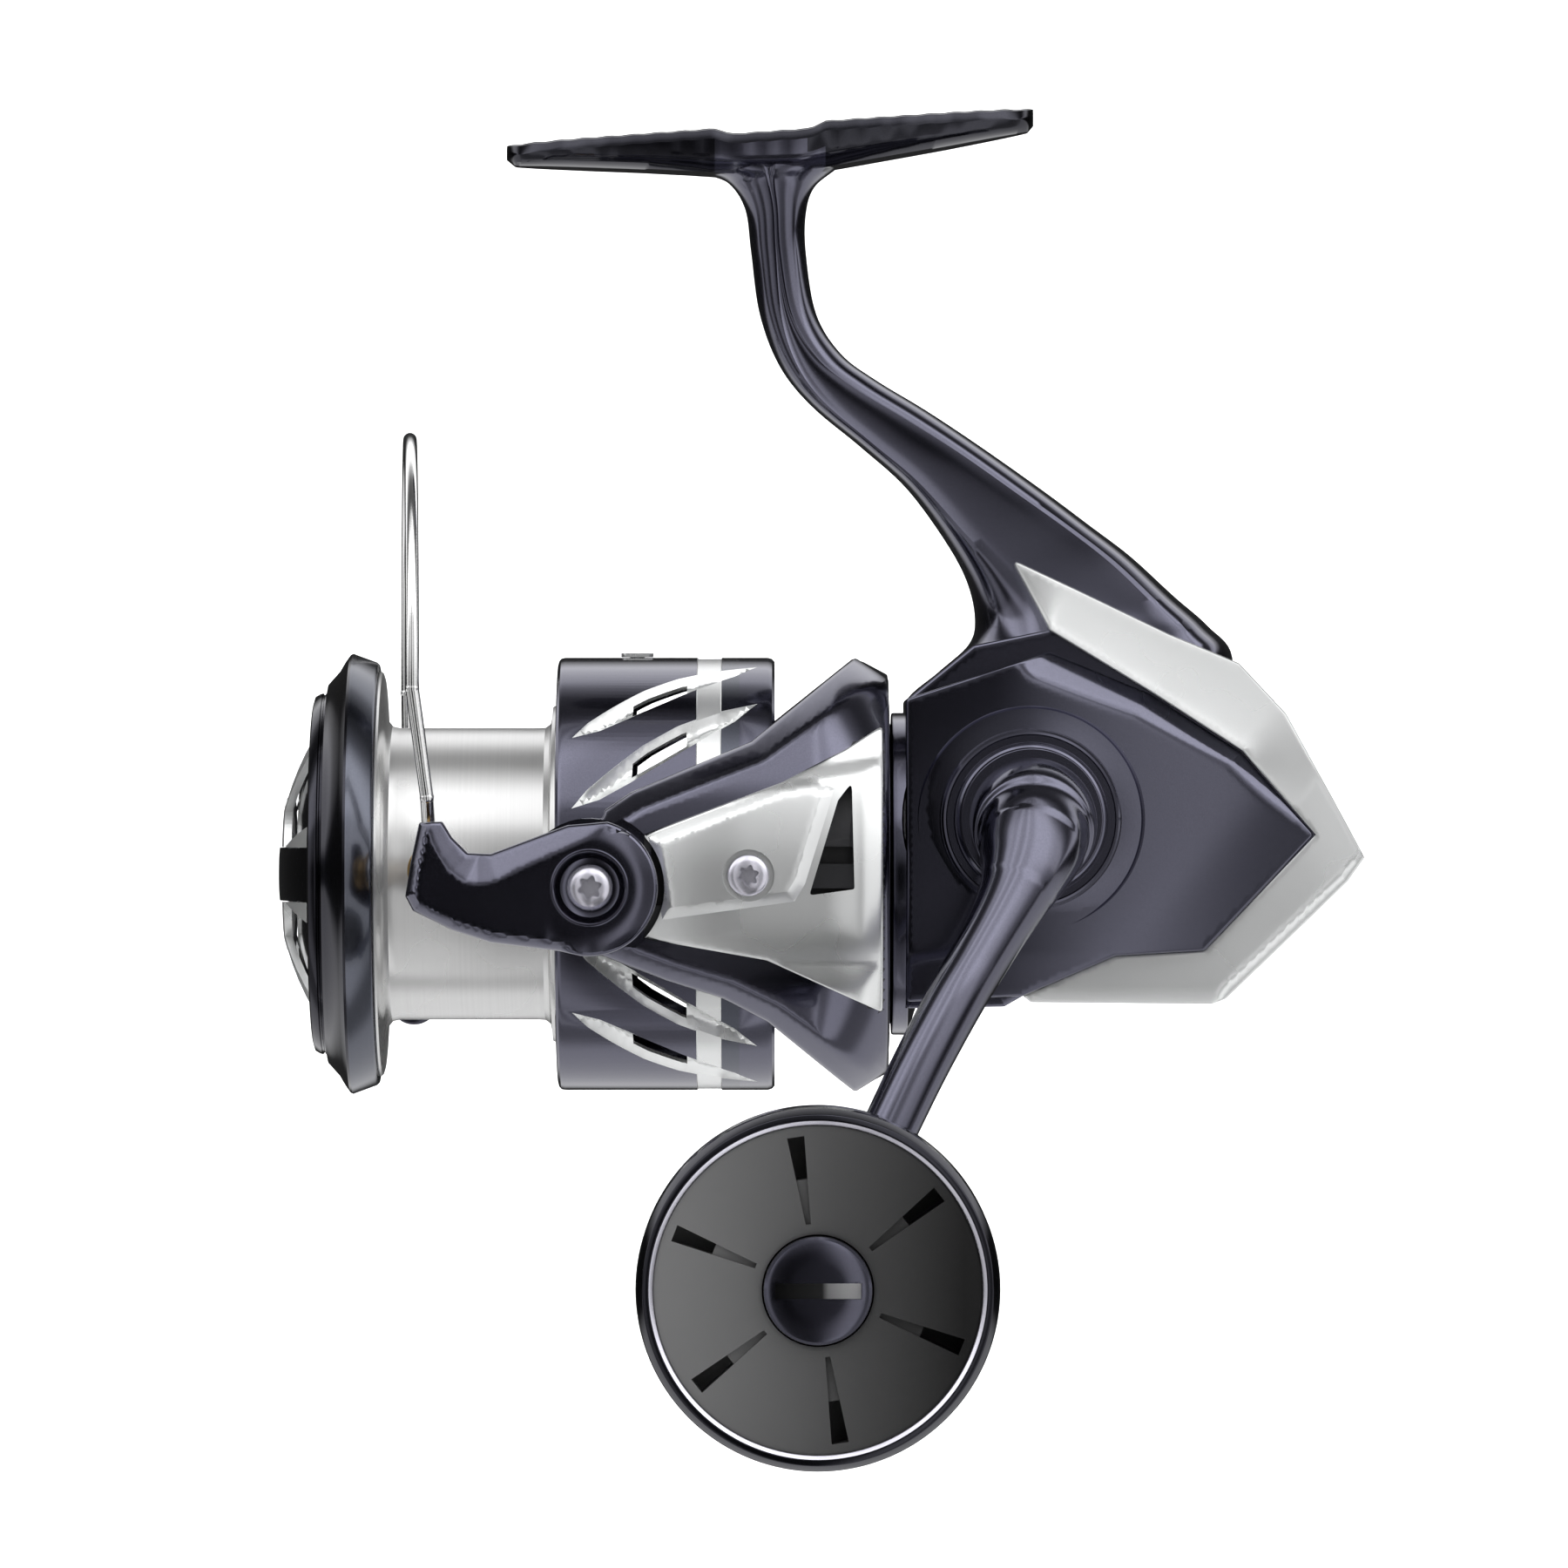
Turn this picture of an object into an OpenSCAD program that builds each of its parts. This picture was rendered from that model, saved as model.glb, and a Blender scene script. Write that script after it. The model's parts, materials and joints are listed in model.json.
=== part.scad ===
// Spinning reel, left-hand retrieve, as an assembly of its real pieces.
// Frame: +Z up to the rod, -X forward through the spool, -Y to the handle side.
// Origin: on the main shaft's axis, abreast of the drive gear's axis.

/* [Spool] */
// Diameter over the spool's front lip
lip_d = 52; // [51:0.5:52]
// Diameter of the line barrel
barrel_d = 34.4; // [32:0.2:36]
// Outer diameter of the skirt
skirt_d = 51; // [50.6:0.1:51]

/* [Oscillation] */
// Spool travel forward from rest
stroke_fore = 12; // [8:0.5:12]
// Spool travel back from rest
stroke_aft = 5; // [3:0.5:5]

/* [Gears] */
// Teeth of the drive gear
drive_teeth = 44; // [44:1:44]
// Helical teeth of the pinion
pinion_teeth = 9; // [9:1:9]
// Height of the drive gear's axis over the main shaft
drive_z = 6.5; // [6.5:0.1:6.6]

/* [Handle] */
// Distance from the drive axis to the knob's axis
handle_len = 57; // [50:0.5:60]
// Angle of the handle at rest, from straight down towards the front
handle_angle = 26; // [0:1:60]
// Diameter of the knob
knob_d = 40; // [36:0.5:42]

/* [Bail] */
// Height of the bail wire's crown over the main shaft
bail_h = 51.2; // [49:0.2:53]
// Diameter of the bail wire
wire_d = 1.6; // [1.4:0.1:1.8]

/* [Foot] */
// Tilt of the foot's seat against the main shaft's axis
foot_tilt = 4; // [3:0.5:5]
// Width of the foot
foot_w = 16; // [14:0.5:17]

/* [Hidden] */
$fn = 64;

dark = [0.10, 0.10, 0.14];
black = [0.04, 0.04, 0.05];
silver = [0.74, 0.74, 0.73];
steel = [0.62, 0.62, 0.66];
bronze = [0.62, 0.48, 0.30];
eva = [0.16, 0.16, 0.16];

gap = 0.05;              // radial running clearance of small journals
shaft_r = 2.2;           // main shaft
lip_r = lip_d/2;
barrel_r = barrel_d/2;
skirt_r = skirt_d/2;
skirt_wall = 1.2;

pivot = [-51, -1.3];     // bail pivot axis, in X and Z, parallel to Y
pivot_r = 7.9;           // the roller arm's round end
arm_in = 26.4;           // inner radius of the rotor's arms, clear of the lip and skirt
arm_out = 31.2;          // outer radius of the rotor's arms
cover_out = 33;          // outer radius of the arm covers
roller_at = [-68.6, 0.6];// line roller's axis, in X and Z

gear_r = 13.4;           // mean radius of the drive gear's teeth
pinion_r = 3.7;          // pitch radius of the helical pinion
mesh_x = -sqrt(gear_r*gear_r - drive_z*drive_z);
lead_angle = 44.9;       // the pinion's helix angle
pinion_lead = 2*PI*pinion_r/tan(lead_angle);

spur_m = 0.5;            // module of the oscillation train
pinion_spur = 15;
idle_big = 22;
idle_small = 12;
worm_teeth = 20;
worm_at = [1, -9];       // worm shaft, in Y and Z
idle_at = meet([0, 0], spur_m*(pinion_spur + idle_big)/2, worm_at, spur_m*(idle_small + worm_teeth)/2);

handle_v = [-handle_len*sin(handle_angle), -handle_len*cos(handle_angle)];
knob_at = [handle_v[0], drive_z + handle_v[1]];

// ---- helpers -------------------------------------------------------------

// The meeting point, on the +Y side, of two circles in the Y-Z plane.
function meet(p, rp, q, rq) =
  let (d = norm(q - p), a = (rp*rp - rq*rq + d*d)/(2*d), h = sqrt(rp*rp - a*a), u = (q - p)/d)
  p + a*u + h*[-u[1], u[0]];

function arc(c, r, a0, a1, n) = [for (i = [0:n]) let (a = a0 + (a1 - a0)*i/n) c + r*[cos(a), sin(a)]];

module cyl_x(r, x0, x1, y = 0, z = 0) translate([x0, y, z]) rotate([0, 90, 0]) cylinder(r = r, h = x1 - x0);
module tube_x(ro, ri, x0, x1, y = 0, z = 0) difference() {
  cyl_x(ro, x0, x1, y, z);
  cyl_x(ri, x0 - 1, x1 + 1, y, z);
}
module cyl_y(r, y0, y1, x = 0, z = 0) translate([x, y1, z]) rotate([90, 0, 0]) cylinder(r = r, h = y1 - y0);
module tube_y(ro, ri, y0, y1, x = 0, z = 0) difference() {
  cyl_y(ro, y0, y1, x, z);
  cyl_y(ri, y0 - 1, y1 + 1, x, z);
}
// A body of revolution about the main shaft, from [radius, x] points.
module lathe_x(p) rotate([0, 90, 0]) rotate_extrude() polygon(p);
// A body of revolution about an axis parallel to Y, from [radius, y] points.
module lathe_y(p, x, z) translate([x, 0, z]) rotate([90, 0, 0]) rotate_extrude()
  polygon([for (q = p) [q[0], -q[1]]]);
// A side-view outline of [x, z] points, extruded from y0 to y1.
module slab(p, y0, y1) translate([0, y1, 0]) rotate([90, 0, 0]) linear_extrude(y1 - y0) polygon(p);
module block(lo, hi) translate(lo) cube(hi - lo);

// Involute spur gear outline, tooth 0 centred on angle 0.
function inv(rb, r) = r <= rb ? 0 : let (a = acos(rb/r)) tan(a)*180/PI - a;
function tooth_side(n, m, pa, back, add, ded, steps = 4) =
  let (rp = n*m/2, rb = rp*cos(pa), r0 = max(rb, rp - ded), half = 90/n - back/rp*45/PI)
  concat([[rp - ded, half + inv(rb, rp)]],
         [for (i = [0:steps]) let (r = r0 + (rp + add - r0)*i/steps) [r, half + inv(rb, rp) - inv(rb, r)]]);
function gear_outline(n, m, pa, back, add, ded) =
  let (s = tooth_side(n, m, pa, back, add, ded), c = len(s))
  [for (k = [0:n - 1]) for (i = [0:2*c - 1])
    let (q = i < c ? s[i] : s[2*c - 1 - i], a = 360*k/n + (i < c ? -q[1] : q[1])) q[0]*[cos(a), sin(a)]];
module spur(n, phase, x0, x1, at = [0, 0])
  translate([x0, at[0], at[1]]) rotate([0, 90, 0]) linear_extrude(x1 - x0) rotate(phase)
    polygon(gear_outline(n, spur_m, 20, 0.12, 0.9*spur_m, 1.2*spur_m));
// The direction from one axis to another, as spur() measures its phase.
function bearing_of(a, b) = atan2(b[0] - a[0], -(b[1] - a[1]));

// A ball bearing along X: two races and the balls between them.
module bearing_x(ri, ro, x0, x1, balls) {
  race = (ro - ri)*0.28;
  ball_r = (ro - ri)/2 - race - 0.01;
  tube_x(ri + race, ri, x0, x1);
  tube_x(ro, ro - race, x0, x1);
  for (i = [0:balls - 1])
    rotate([i*360/balls, 0, 0]) translate([(x0 + x1)/2, (ri + ro)/2, 0]) sphere(r = ball_r);
}
module bearing_y(ri, ro, y0, y1, balls, x, z)
  translate([x, 0, z]) rotate([0, 0, 90]) bearing_x(ri, ro, y0, y1, balls);

// A cross-recessed screw driven towards -Y, with its head's top at y0.
module screw_y(y0, x, z, head_r, head_h, shank_r, length) {
  recess = head_r*0.6;
  recess_w = 0.6;
  translate([x, y0, z]) rotate([90, 0, 0]) difference() {
    union() {
      cylinder(r = head_r, h = head_h);
      cylinder(r = shank_r, h = length);
    }
    for (a = [0, 90])
      rotate(a) translate([-recess, -recess_w/2, -1]) cube([2*recess, recess_w, 1 + head_h*0.6]);
  }
}
// The driver recess of a six-lobed screw, as three crossed bars, cut from z = -1 to its depth.
module six_lobe(reach, width, depth)
  for (a = [0:60:120]) rotate(a) translate([-reach, -width/2, -1]) cube([2*reach, width, 1 + depth]);

// ---- outlines ------------------------------------------------------------

// Gear case seen from the side, without the rear guard's skin.
case_line = [[-14.5, -15.6], [-14.5, 20.4], [-6.6, 26.8], [4, 29], [13, 26.2], [22.6, 23], [28.3, 17.6],
             [34, 7.6], [37.2, 2], [35.9, 0.4], [32, -3.5], [21.8, -12.9], [20.6, -13.4],
             [0.5, -13.4], [-3, -15.4]];
// The outer line of the rear guard.
guard_line = [[24.4, 25.4], [29.9, 18.8], [35.6, 8.5], [39.0, 2.6], [38.7, 0.7], [33, -4.8],
              [22.9, -14.4], [21.2, -15.1], [0.1, -14.9]];
// The raised part of the side cover.
cover_line = [[-14.4, -14.8], [-14.4, 20.6], [2.3, 26.0], [13.9, 21.2], [24.6, 14.4], [33.2, 4.7],
              [20.3, -8.8], [9.9, -9.4], [-0.9, -14.1]];
// The blade of the guard that runs up beside the stem.
blade_line = [[-2.1, 36.8], [6.0, 33.0], [16.2, 28.1], [24.4, 24.4], [24.8, 14.8], [14.1, 21.6],
              [2.3, 28.5]];
// Stem seen from the side, from the case up to the foot.
stem_front = [[-14.5, 20.4], [-6.6, 26.9], [-6.2, 29.6], [-6.6, 33.2], [-9.7, 39.4], [-14.3, 45.5],
              [-19.4, 50.2], [-25.6, 55.3], [-29.2, 59.9], [-31.6, 66.1], [-32.6, 73.3],
              [-33.3, 78.4], [-35.4, 81.5], [-36, 85]];
stem_back = [[-24, 86], [-22.5, 83.3], [-25.1, 81.0], [-26.1, 77.9], [-26.1, 72.3], [-25.3, 67.1],
             [-23.5, 63.0], [-19.9, 59.9], [-15.3, 56.8], [-8.1, 52.2], [2.2, 45.0], [12.4, 37.3],
             [24.0, 26.1], [22.5, 23.4], [22, 15], [0, 15]];
// The stem seen from the front: [half width, height].
stem_side = [[8, 15], [8, 30], [6.6, 40], [5.0, 50], [4.1, 60], [4.1, 75], [5.5, 82], [7, 87]];
foot_pitch = tan(foot_tilt);
foot_top0 = 90.2;        // height of the seat's plane over x = 0
function seat_z(x) = foot_top0 + x*foot_pitch;
foot_line = [[-61.3, 83.5], [-61.3, seat_z(-61.3)], [0.4, seat_z(0.4)], [0.7, 87.6], [-10, 85.5],
             [-20, 83.6], [-24, 82.6], [-36, 81.8], [-40, 82.7], [-46, 82.9]];

// Rotor arm seen from the side.
arm_line = concat([[-16.4, -22.6], [-16.4, 22.6], [-20.4, 25.3], [-32.5, 15.5], [-46.3, 9.7]],
                  arc(pivot, 8, 75, 285, 14),
                  [[-42.3, -12.1], [-35.7, -14.2], [-29.3, -18.8], [-20.4, -25.3]]);
// The silver panel let into the arm, and its window.
panel_line = [[-44.8, 4.8], [-29.0, 10.8], [-21.6, 14.6], [-17.3, 17.4], [-17.3, -15.8],
              [-30.7, -9.7], [-44.8, -7.2]];
window_line = [[-20.9, 10.8], [-22.5, 8.7], [-25.8, -2.2], [-20.6, -1.5]];
raised_line = [[-44.3, 4.3], [-29.3, 10.2], [-25.1, 11.0], [-22.9, 9.6], [-26.2, -0.5],
               [-27.0, -2.6], [-42.7, -5.0]];
cover_screw_at = [-32.8, 0.1];

// The arm that carries the line roller.
roller_arm_line = [[-70.6, 6.1], [-72.2, -2.2], [-71.3, -4.0], [-66.8, -6.2], [-62.4, -7.6],
                   [-54.4, -8.7], [-51, -9.0], [-51, 6.4], [-53.5, 5.8], [-62.4, 2.5],
                   [-65.0, 2.7], [-66.8, 4.5], [-67.9, 6.3]];
// The lever that carries the far end of the bail wire.
bail_lever_line = [[-51, 4.9], [-46, 0], [-46, -3], [-51, -7.5], [-72.6, -19], [-76.6, -15.6],
                   [-66, -2], [-58, 2.6]];
// One slot of the skirt, unrolled: [x, distance round the skirt].
slot_line = [[-53.2, -7.6], [-49.5, -3.6], [-43.5, 1.6], [-37.5, 5.4], [-31.7, 7.2], [-34.2, 4.2],
             [-40.5, -0.4], [-46.5, -4.4], [-52.6, -7.9]];
slot_angles = [35, 56];  // from the handle side towards the top, and mirrored below

// ---- body ----------------------------------------------------------------

module stem() {
  intersection() {
    slab(concat(stem_front, stem_back), -9, 9);
    translate([-70, 0, 0]) rotate([90, 0, 90]) linear_extrude(120)
      polygon(concat(stem_side, [for (i = [len(stem_side) - 1:-1:0]) [-stem_side[i][0], stem_side[i][1]]]));
  }
}

module foot() {
  tip = 4;
  intersection() {
    slab(foot_line, -foot_w/2, foot_w/2);
    linear_extrude(100) polygon(concat(
      arc([-57.3, 0], tip, 110, 250, 8), [[-45, -foot_w/2], [-15, -foot_w/2]],
      arc([-3.4, 0], tip, -70, 70, 8), [[-15, foot_w/2], [-45, foot_w/2]]));
  }
}

module inside_case(y0, y1)
  slab([[-12.8, -13.4], [-12.8, 19.4], [-6, 24.8], [4, 26.6], [12.4, 24.4], [21.6, 21], [26.8, 16.6],
        [32.2, 7], [34.6, 2.2], [20.9, -11.9], [1, -12.1], [-3.4, -13.4]], y0, y1);

module body_frame() color(dark) difference() {
  union() {
    difference() {
      union() {
        slab(case_line, -8, 13);
        stem();
        foot();
        cyl_x(19, -16, -14.2);
        cyl_x(17.6, -18.4, -15.9);
        cyl_y(9, 12.9, 17, 0, drive_z);
      }
      inside_case(-9, 11.4);
      cyl_x(15.8, -19, -16);
      intersection() {
        cyl_x(15.8, -19, -14.9);
        block([-20, -5.6, -16], [-14, 16, 16]);
      }
    }
    // rear seat of the pinion
    intersection() {
      union() {
        cyl_x(5.6, -7.6, -4.6);
        block([-7.6, 0, -5.6], [-4.6, 11.5, 2]);
      }
      block([-9, -3, -8], [-3, 12, 8]);
    }
    // lugs for the worm shaft and the guide rod, the right drive bearing's seat and the screw posts
    block([16.4, -2.4, -12.6], [19.4, 11.5, -6.4]);
    for (x = [1.6, 28.6]) block([x, 4.9, -2], [x + 2.6, 11.5, 2]);
    tube_y(9, 7, 8.6, 12, 0, drive_z);
    for (p = cover_screw_spots) cyl_y(2.2, -8, 12, p[0], p[1]);
    for (p = housing_screw_spots) cyl_x(1.9, -18.4, -15.2, p[0], p[1]);
  }
  slab(case_line, -20, -8);
  cyl_y(15, -20, -3, 0, drive_z);
  cyl_x(4.45, -16, -12);
  cyl_x(4.25, -8, -4.9);
  cyl_x(3.2, -8, -4);
  cyl_x(3, -16, -12, worm_at[0], worm_at[1]);
  cyl_x(2.5, 16, 20, worm_at[0], worm_at[1]);
  cyl_x(1.2 + gap, -15.5, -12.9, idle_at[0], idle_at[1]);
  cyl_x(1.2, 1, 4.3, 6.6, 0);
  cyl_x(1.2, 28, 30.8, 6.6, 0);
  cyl_y(7, 8, 13.2, 0, drive_z);
  cyl_y(5.2, 13, 18, 0, drive_z);
  for (p = cover_screw_spots) cyl_y(1.05, -9, 14, p[0], p[1]);
  for (p = cover_screw_spots) cyl_y(2.05, 11.6, 14, p[0], p[1]);
  for (p = guard_screw_spots) cyl_y(0.85, 11.5, 14, p[0], p[1]);
  for (p = housing_screw_spots) cyl_x(0.85, -19, -15.3, p[0], p[1]);
}
cover_screw_spots = [[-10.6, 20.3], [20.4, 20.2], [-12.0, -13.4], [25.0, -6.9]];
guard_screw_spots = [[30.6, 11.6], [13, -12.5]];
housing_screw_spots = [for (a = [60, 152, 208]) 13.5*[cos(a), sin(a)]];

module side_cover() color(dark) difference() {
  union() {
    difference() {
      slab(case_line, -13.4, -8.02);
      inside_case(-11.8, -8);
    }
    slab(cover_line, -16, -13.3);
    lathe_y([[0, -15], [13.25, -15.5], [13.0, -16.6], [10.3, -18.4], [10.0, -19.4], [8.9, -19.4],
             [8.6, -20.4], [0, -20.4]], 0, drive_z);
    cyl_y(9, -13, -10.4, 0, drive_z);
    for (p = cover_screw_spots) cyl_y(2.2, -13, -8.02, p[0], p[1]);
  }
  cyl_y(15, -9.7, -7, 0, drive_z);
  cyl_y(7, -17.6, -10, 0, drive_z);
  cyl_y(5.4, -21, -17, 0, drive_z);
  for (p = cover_screw_spots) cyl_y(0.9, -12.6, -8, p[0], p[1]);
}

// A skin round the back of the case, with a flange and a blade on each side.
module rear_guard() color(silver) difference() {
  union() {
    slab(concat(guard_line, [[-0.4, -13.5], [22, 10], [22.8, 23.2]]), -15, 14.6);
    for (y = [[-15, -8.1], [8.1, 14.6]]) slab(blade_line, y[0], y[1]);
  }
  slab(case_line, -13.42, 13.03);
  slab(cover_line, -17, -13.4);
  slab(cover_line, 13, 17);
  for (p = guard_screw_spots) cyl_y(0.95, 12, 16, p[0], p[1]);
}

module cover_screws() color(steel)
  for (p = cover_screw_spots) screw_y(13, p[0], p[1], 2.0, 1.3, 0.85, 24);
module guard_screws() color(steel)
  for (p = guard_screw_spots) screw_y(15.6, p[0], p[1], 1.7, 0.95, 0.8, 4);

module drive_bearings() color(steel) {
  bearing_y(4.02, 6.98, -17.5, -13.6, 7, 0, drive_z);
  bearing_y(4.02, 6.98, 9.0, 13.0, 7, 0, drive_z);
}
module pinion_bearings() color(steel) {
  bearing_x(3.52, 6.98, -23.9, -20.5, 8);
  bearing_x(2.77, 4.23, -7.5, -5.0, 7);
}
// Outer race, cage ring and rollers of the one-way clutch.
module one_way_clutch() color(steel) {
  tube_x(11.45, 7.4, -28.2, -24.15);
  for (i = [0:7]) rotate([i*45, 0, 0]) cyl_x(1.02, -27.8, -24.6, 6.3, 0);
}
module brake_ring() color(black) tube_x(14.2, 13.02, -22.6, -20.6);
module worm_bushings() color(bronze) {
  tube_x(1.98, 1.5 + gap, -20.4, -18.5, worm_at[0], worm_at[1]);
  tube_x(2.48, 1.5 + gap, 16.5, 19.3, worm_at[0], worm_at[1]);
}
module guide_rod() color(steel) cyl_x(1.18, 1.8, 30.6, 6.6, 0);
// The flange and tube that hold the front bearing and the one-way clutch.
module clutch_housing() color(dark) difference() {
  union() {
    cyl_x(17.6, -20.45, -18.45);
    cyl_x(13, -28.4, -20.4);
  }
  cyl_x(11.5, -29, -24.1);
  cyl_x(7, -25, -20.45);
  cyl_x(4.4, -21, -18);
  cyl_x(2.0, -20.43, -18, worm_at[0], worm_at[1]);
  cyl_x(1.2 + gap, -20.4, -18, idle_at[0], idle_at[1]);
  for (p = housing_screw_spots) cyl_x(1.0, -21, -18, p[0], p[1]);
  for (p = housing_screw_spots) cyl_x(1.75, -21, -19.5, p[0], p[1]);
}
module housing_screws() color(steel) for (p = housing_screw_spots) difference() {
  union() {
    cyl_x(1.65, -20.4, -19.52, p[0], p[1]);
    cyl_x(0.8, -20, -15.6, p[0], p[1]);
  }
  block([-21, p[0] - 1.2, p[1] - 0.25], [-20, p[0] + 1.2, p[1] + 0.25]);
  block([-21, p[0] - 0.25, p[1] - 1.2], [-20, p[0] + 0.25, p[1] + 1.2]);
}
module handle_cap() color(dark) difference() {
  union() {
    cyl_y(5.15, 13.4, 17.1, 0, drive_z);
    lathe_y([[0, 17.02], [8.2, 17.02], [8.2, 18.2], [7.4, 19], [0, 19]], 0, drive_z);
  }
  block([-5, 18.1, drive_z - 0.8], [5, 20, drive_z + 0.8]);
}
module handle_seal() color(black) tube_y(5.38, 4.7, -20.2, -18, 0, drive_z);

// ---- drive gear and handle -------------------------------------------------

module drive_gear() color(steel) {
  pitch_n = 2*PI*gear_r/drive_teeth*cos(lead_angle - asin(drive_z/gear_r));
  half = pitch_n/4 - 0.12;  // half thickness on the pitch plane
  low = 0.66;               // depth of a tooth below the pitch plane
  high = 0.48;              // and its height above it
  slope = tan(20);
  difference() {
    union() {
      cyl_y(4, -17.4, 12.9, 0, drive_z);
      cyl_y(7.5, -9.3, -6.4, 0, drive_z);
      difference() {
        cyl_y(14.7, -9.3, -pinion_r - low, 0, drive_z);
        cyl_y(12.1, -6.4, 0, 0, drive_z);
      }
      for (k = [0:drive_teeth - 1])
        translate([0, -pinion_r, drive_z]) rotate([0, 360*k/drive_teeth, 0])
          translate([mesh_x, 0, -drive_z]) rotate([0, -lead_angle, 0])
            rotate([90, 0, 90]) translate([0, 0, -1.15]) linear_extrude(2.3)
              polygon([[-low - 0.2, half + low*slope], [high, half - high*slope],
                       [high, -half + high*slope], [-low - 0.2, -half - low*slope]]);
    }
    cyl_y(3, -18, 13.5, 0, drive_z);
    for (k = [0:5]) translate([0, 0, drive_z]) rotate([0, 60*k, 0]) cyl_y(1.4, -10, -6, 9.8, 0);
  }
}

module ball(at, r) translate(at) sphere(r = r, $fn = 32);
module handle_arm() color(dark) difference() {
  root = [-1.6, -31, drive_z - 1.4];
  bend = [-6.5, -37.5, drive_z - 16];
  wrist = [knob_at[0] + 6, -47, knob_at[1] + 13];
  union() {
    cyl_y(2.9, -24, -14, 0, drive_z);
    cyl_y(4.6, -24, -17.7, 0, drive_z);
    hull() {
      cyl_y(6.8, -26, -23.4, 0, drive_z);
      ball(root, 5);
    }
    hull() {
      ball(root, 5);
      ball(bend, 3.7);
    }
    hull() {
      ball(bend, 3.7);
      ball(wrist, 3.1);
    }
    hull() {
      ball(wrist, 3.1);
      cyl_y(5.4, -52.4, -47.4, knob_at[0], knob_at[1]);
    }
  }
  cyl_y(2.0, -53, -46, knob_at[0], knob_at[1]);
}
module handle_collar() color(steel) tube_y(8.2, 4.65, -23.3, -20.9, 0, drive_z);
module knob_spindle() color(steel) union() {
  cyl_y(1.98, -85.4, -47, knob_at[0], knob_at[1]);
  cyl_y(3.4, -54.6, -52.5, knob_at[0], knob_at[1]);
}
module knob_nut() color(steel) difference() {
  translate([knob_at[0], -83.0, knob_at[1]]) rotate([90, 0, 0]) cylinder(r = 3.3, h = 2, $fn = 6);
  cyl_y(2.02, -90, -80, knob_at[0], knob_at[1]);
}

module knob_grip() color(eva) difference() {
  lathe_y([[6.1, -89.6], [18.0, -88.6], [18.0, -78.2], [19.6, -77.4], [19.8, -72], [18.6, -66],
           [15.6, -60.6], [11.5, -57.4], [6.1, -56.8]], knob_at[0], knob_at[1]);
  for (k = [0:5]) translate([knob_at[0], 0, knob_at[1]]) rotate([0, -60*k - 38.7, 0]) {
    block([12.3, -91, -0.95], [17.2, -84, 0.95]);
    block([8.2, -91, -0.55], [12.4, -88.6, 0.55]);
  }
}
module knob_rim() color(dark)
  lathe_y([[18.05, -88.7], [18.9, -88.9], [19.9, -87.6], [knob_d/2, -86], [knob_d/2, -79.4],
           [19.7, -78.2], [18.05, -78.2]], knob_at[0], knob_at[1]);
module knob_core() color(black) difference() {
  union() {
    cyl_y(6.05, -86.6, -56.2, knob_at[0], knob_at[1]);
    cyl_y(9.5, -56.7, -55.4, knob_at[0], knob_at[1]);
  }
  cyl_y(2.4, -90, -50, knob_at[0], knob_at[1]);
  cyl_y(3.6, -60, -55, knob_at[0], knob_at[1]);
  cyl_y(3.6, -87, -80, knob_at[0], knob_at[1]);
}
module knob_bearings() color(steel) {
  bearing_y(2.0, 3.58, -59.9, -57.4, 7, knob_at[0], knob_at[1]);
  bearing_y(2.0, 3.58, -82.6, -80.1, 7, knob_at[0], knob_at[1]);
}
module knob_cap() color(dark) difference() {
  lathe_y([[0, -86.7], [6.0, -86.7], [6.0, -90.2], [5.5, -90.8], [0, -90.9]], knob_at[0], knob_at[1]);
  block([knob_at[0] - 4.7, -92, knob_at[1] - 0.85], [knob_at[0] + 4.7, -89.6, knob_at[1] + 0.85]);
}

// ---- rotor ---------------------------------------------------------------

module pinion() color(bronze) difference() {
  union() {
    cyl_x(2.75, -8.8, -4.9);
    hm = mesh_x + 14.3;
    translate([-14.3, 0, 0]) rotate([0, 90, 0])
      linear_extrude(5.5, twist = 360*5.5/pinion_lead, slices = 12, $fn = 4)
        rotate(-90 - 180/pinion_teeth + 360*hm/pinion_lead)
          polygon(gear_outline(pinion_teeth, 2*pinion_r/pinion_teeth, 27.2, 0.36, 0.48, 0.64));
    cyl_x(3.1, -16.8, -8.7);
    spur(pinion_spur, bearing_of([0, 0], idle_at), -18.0, -16.75);
    cyl_x(3.5, -33.15, -17.9);
    cyl_x(3.0, -36.6, -33.1);
  }
  cyl_x(2.3, -40, 0);
}
module clutch_sleeve() color(steel) tube_x(5.2, 3.52, -28.9, -24.1);

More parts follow.
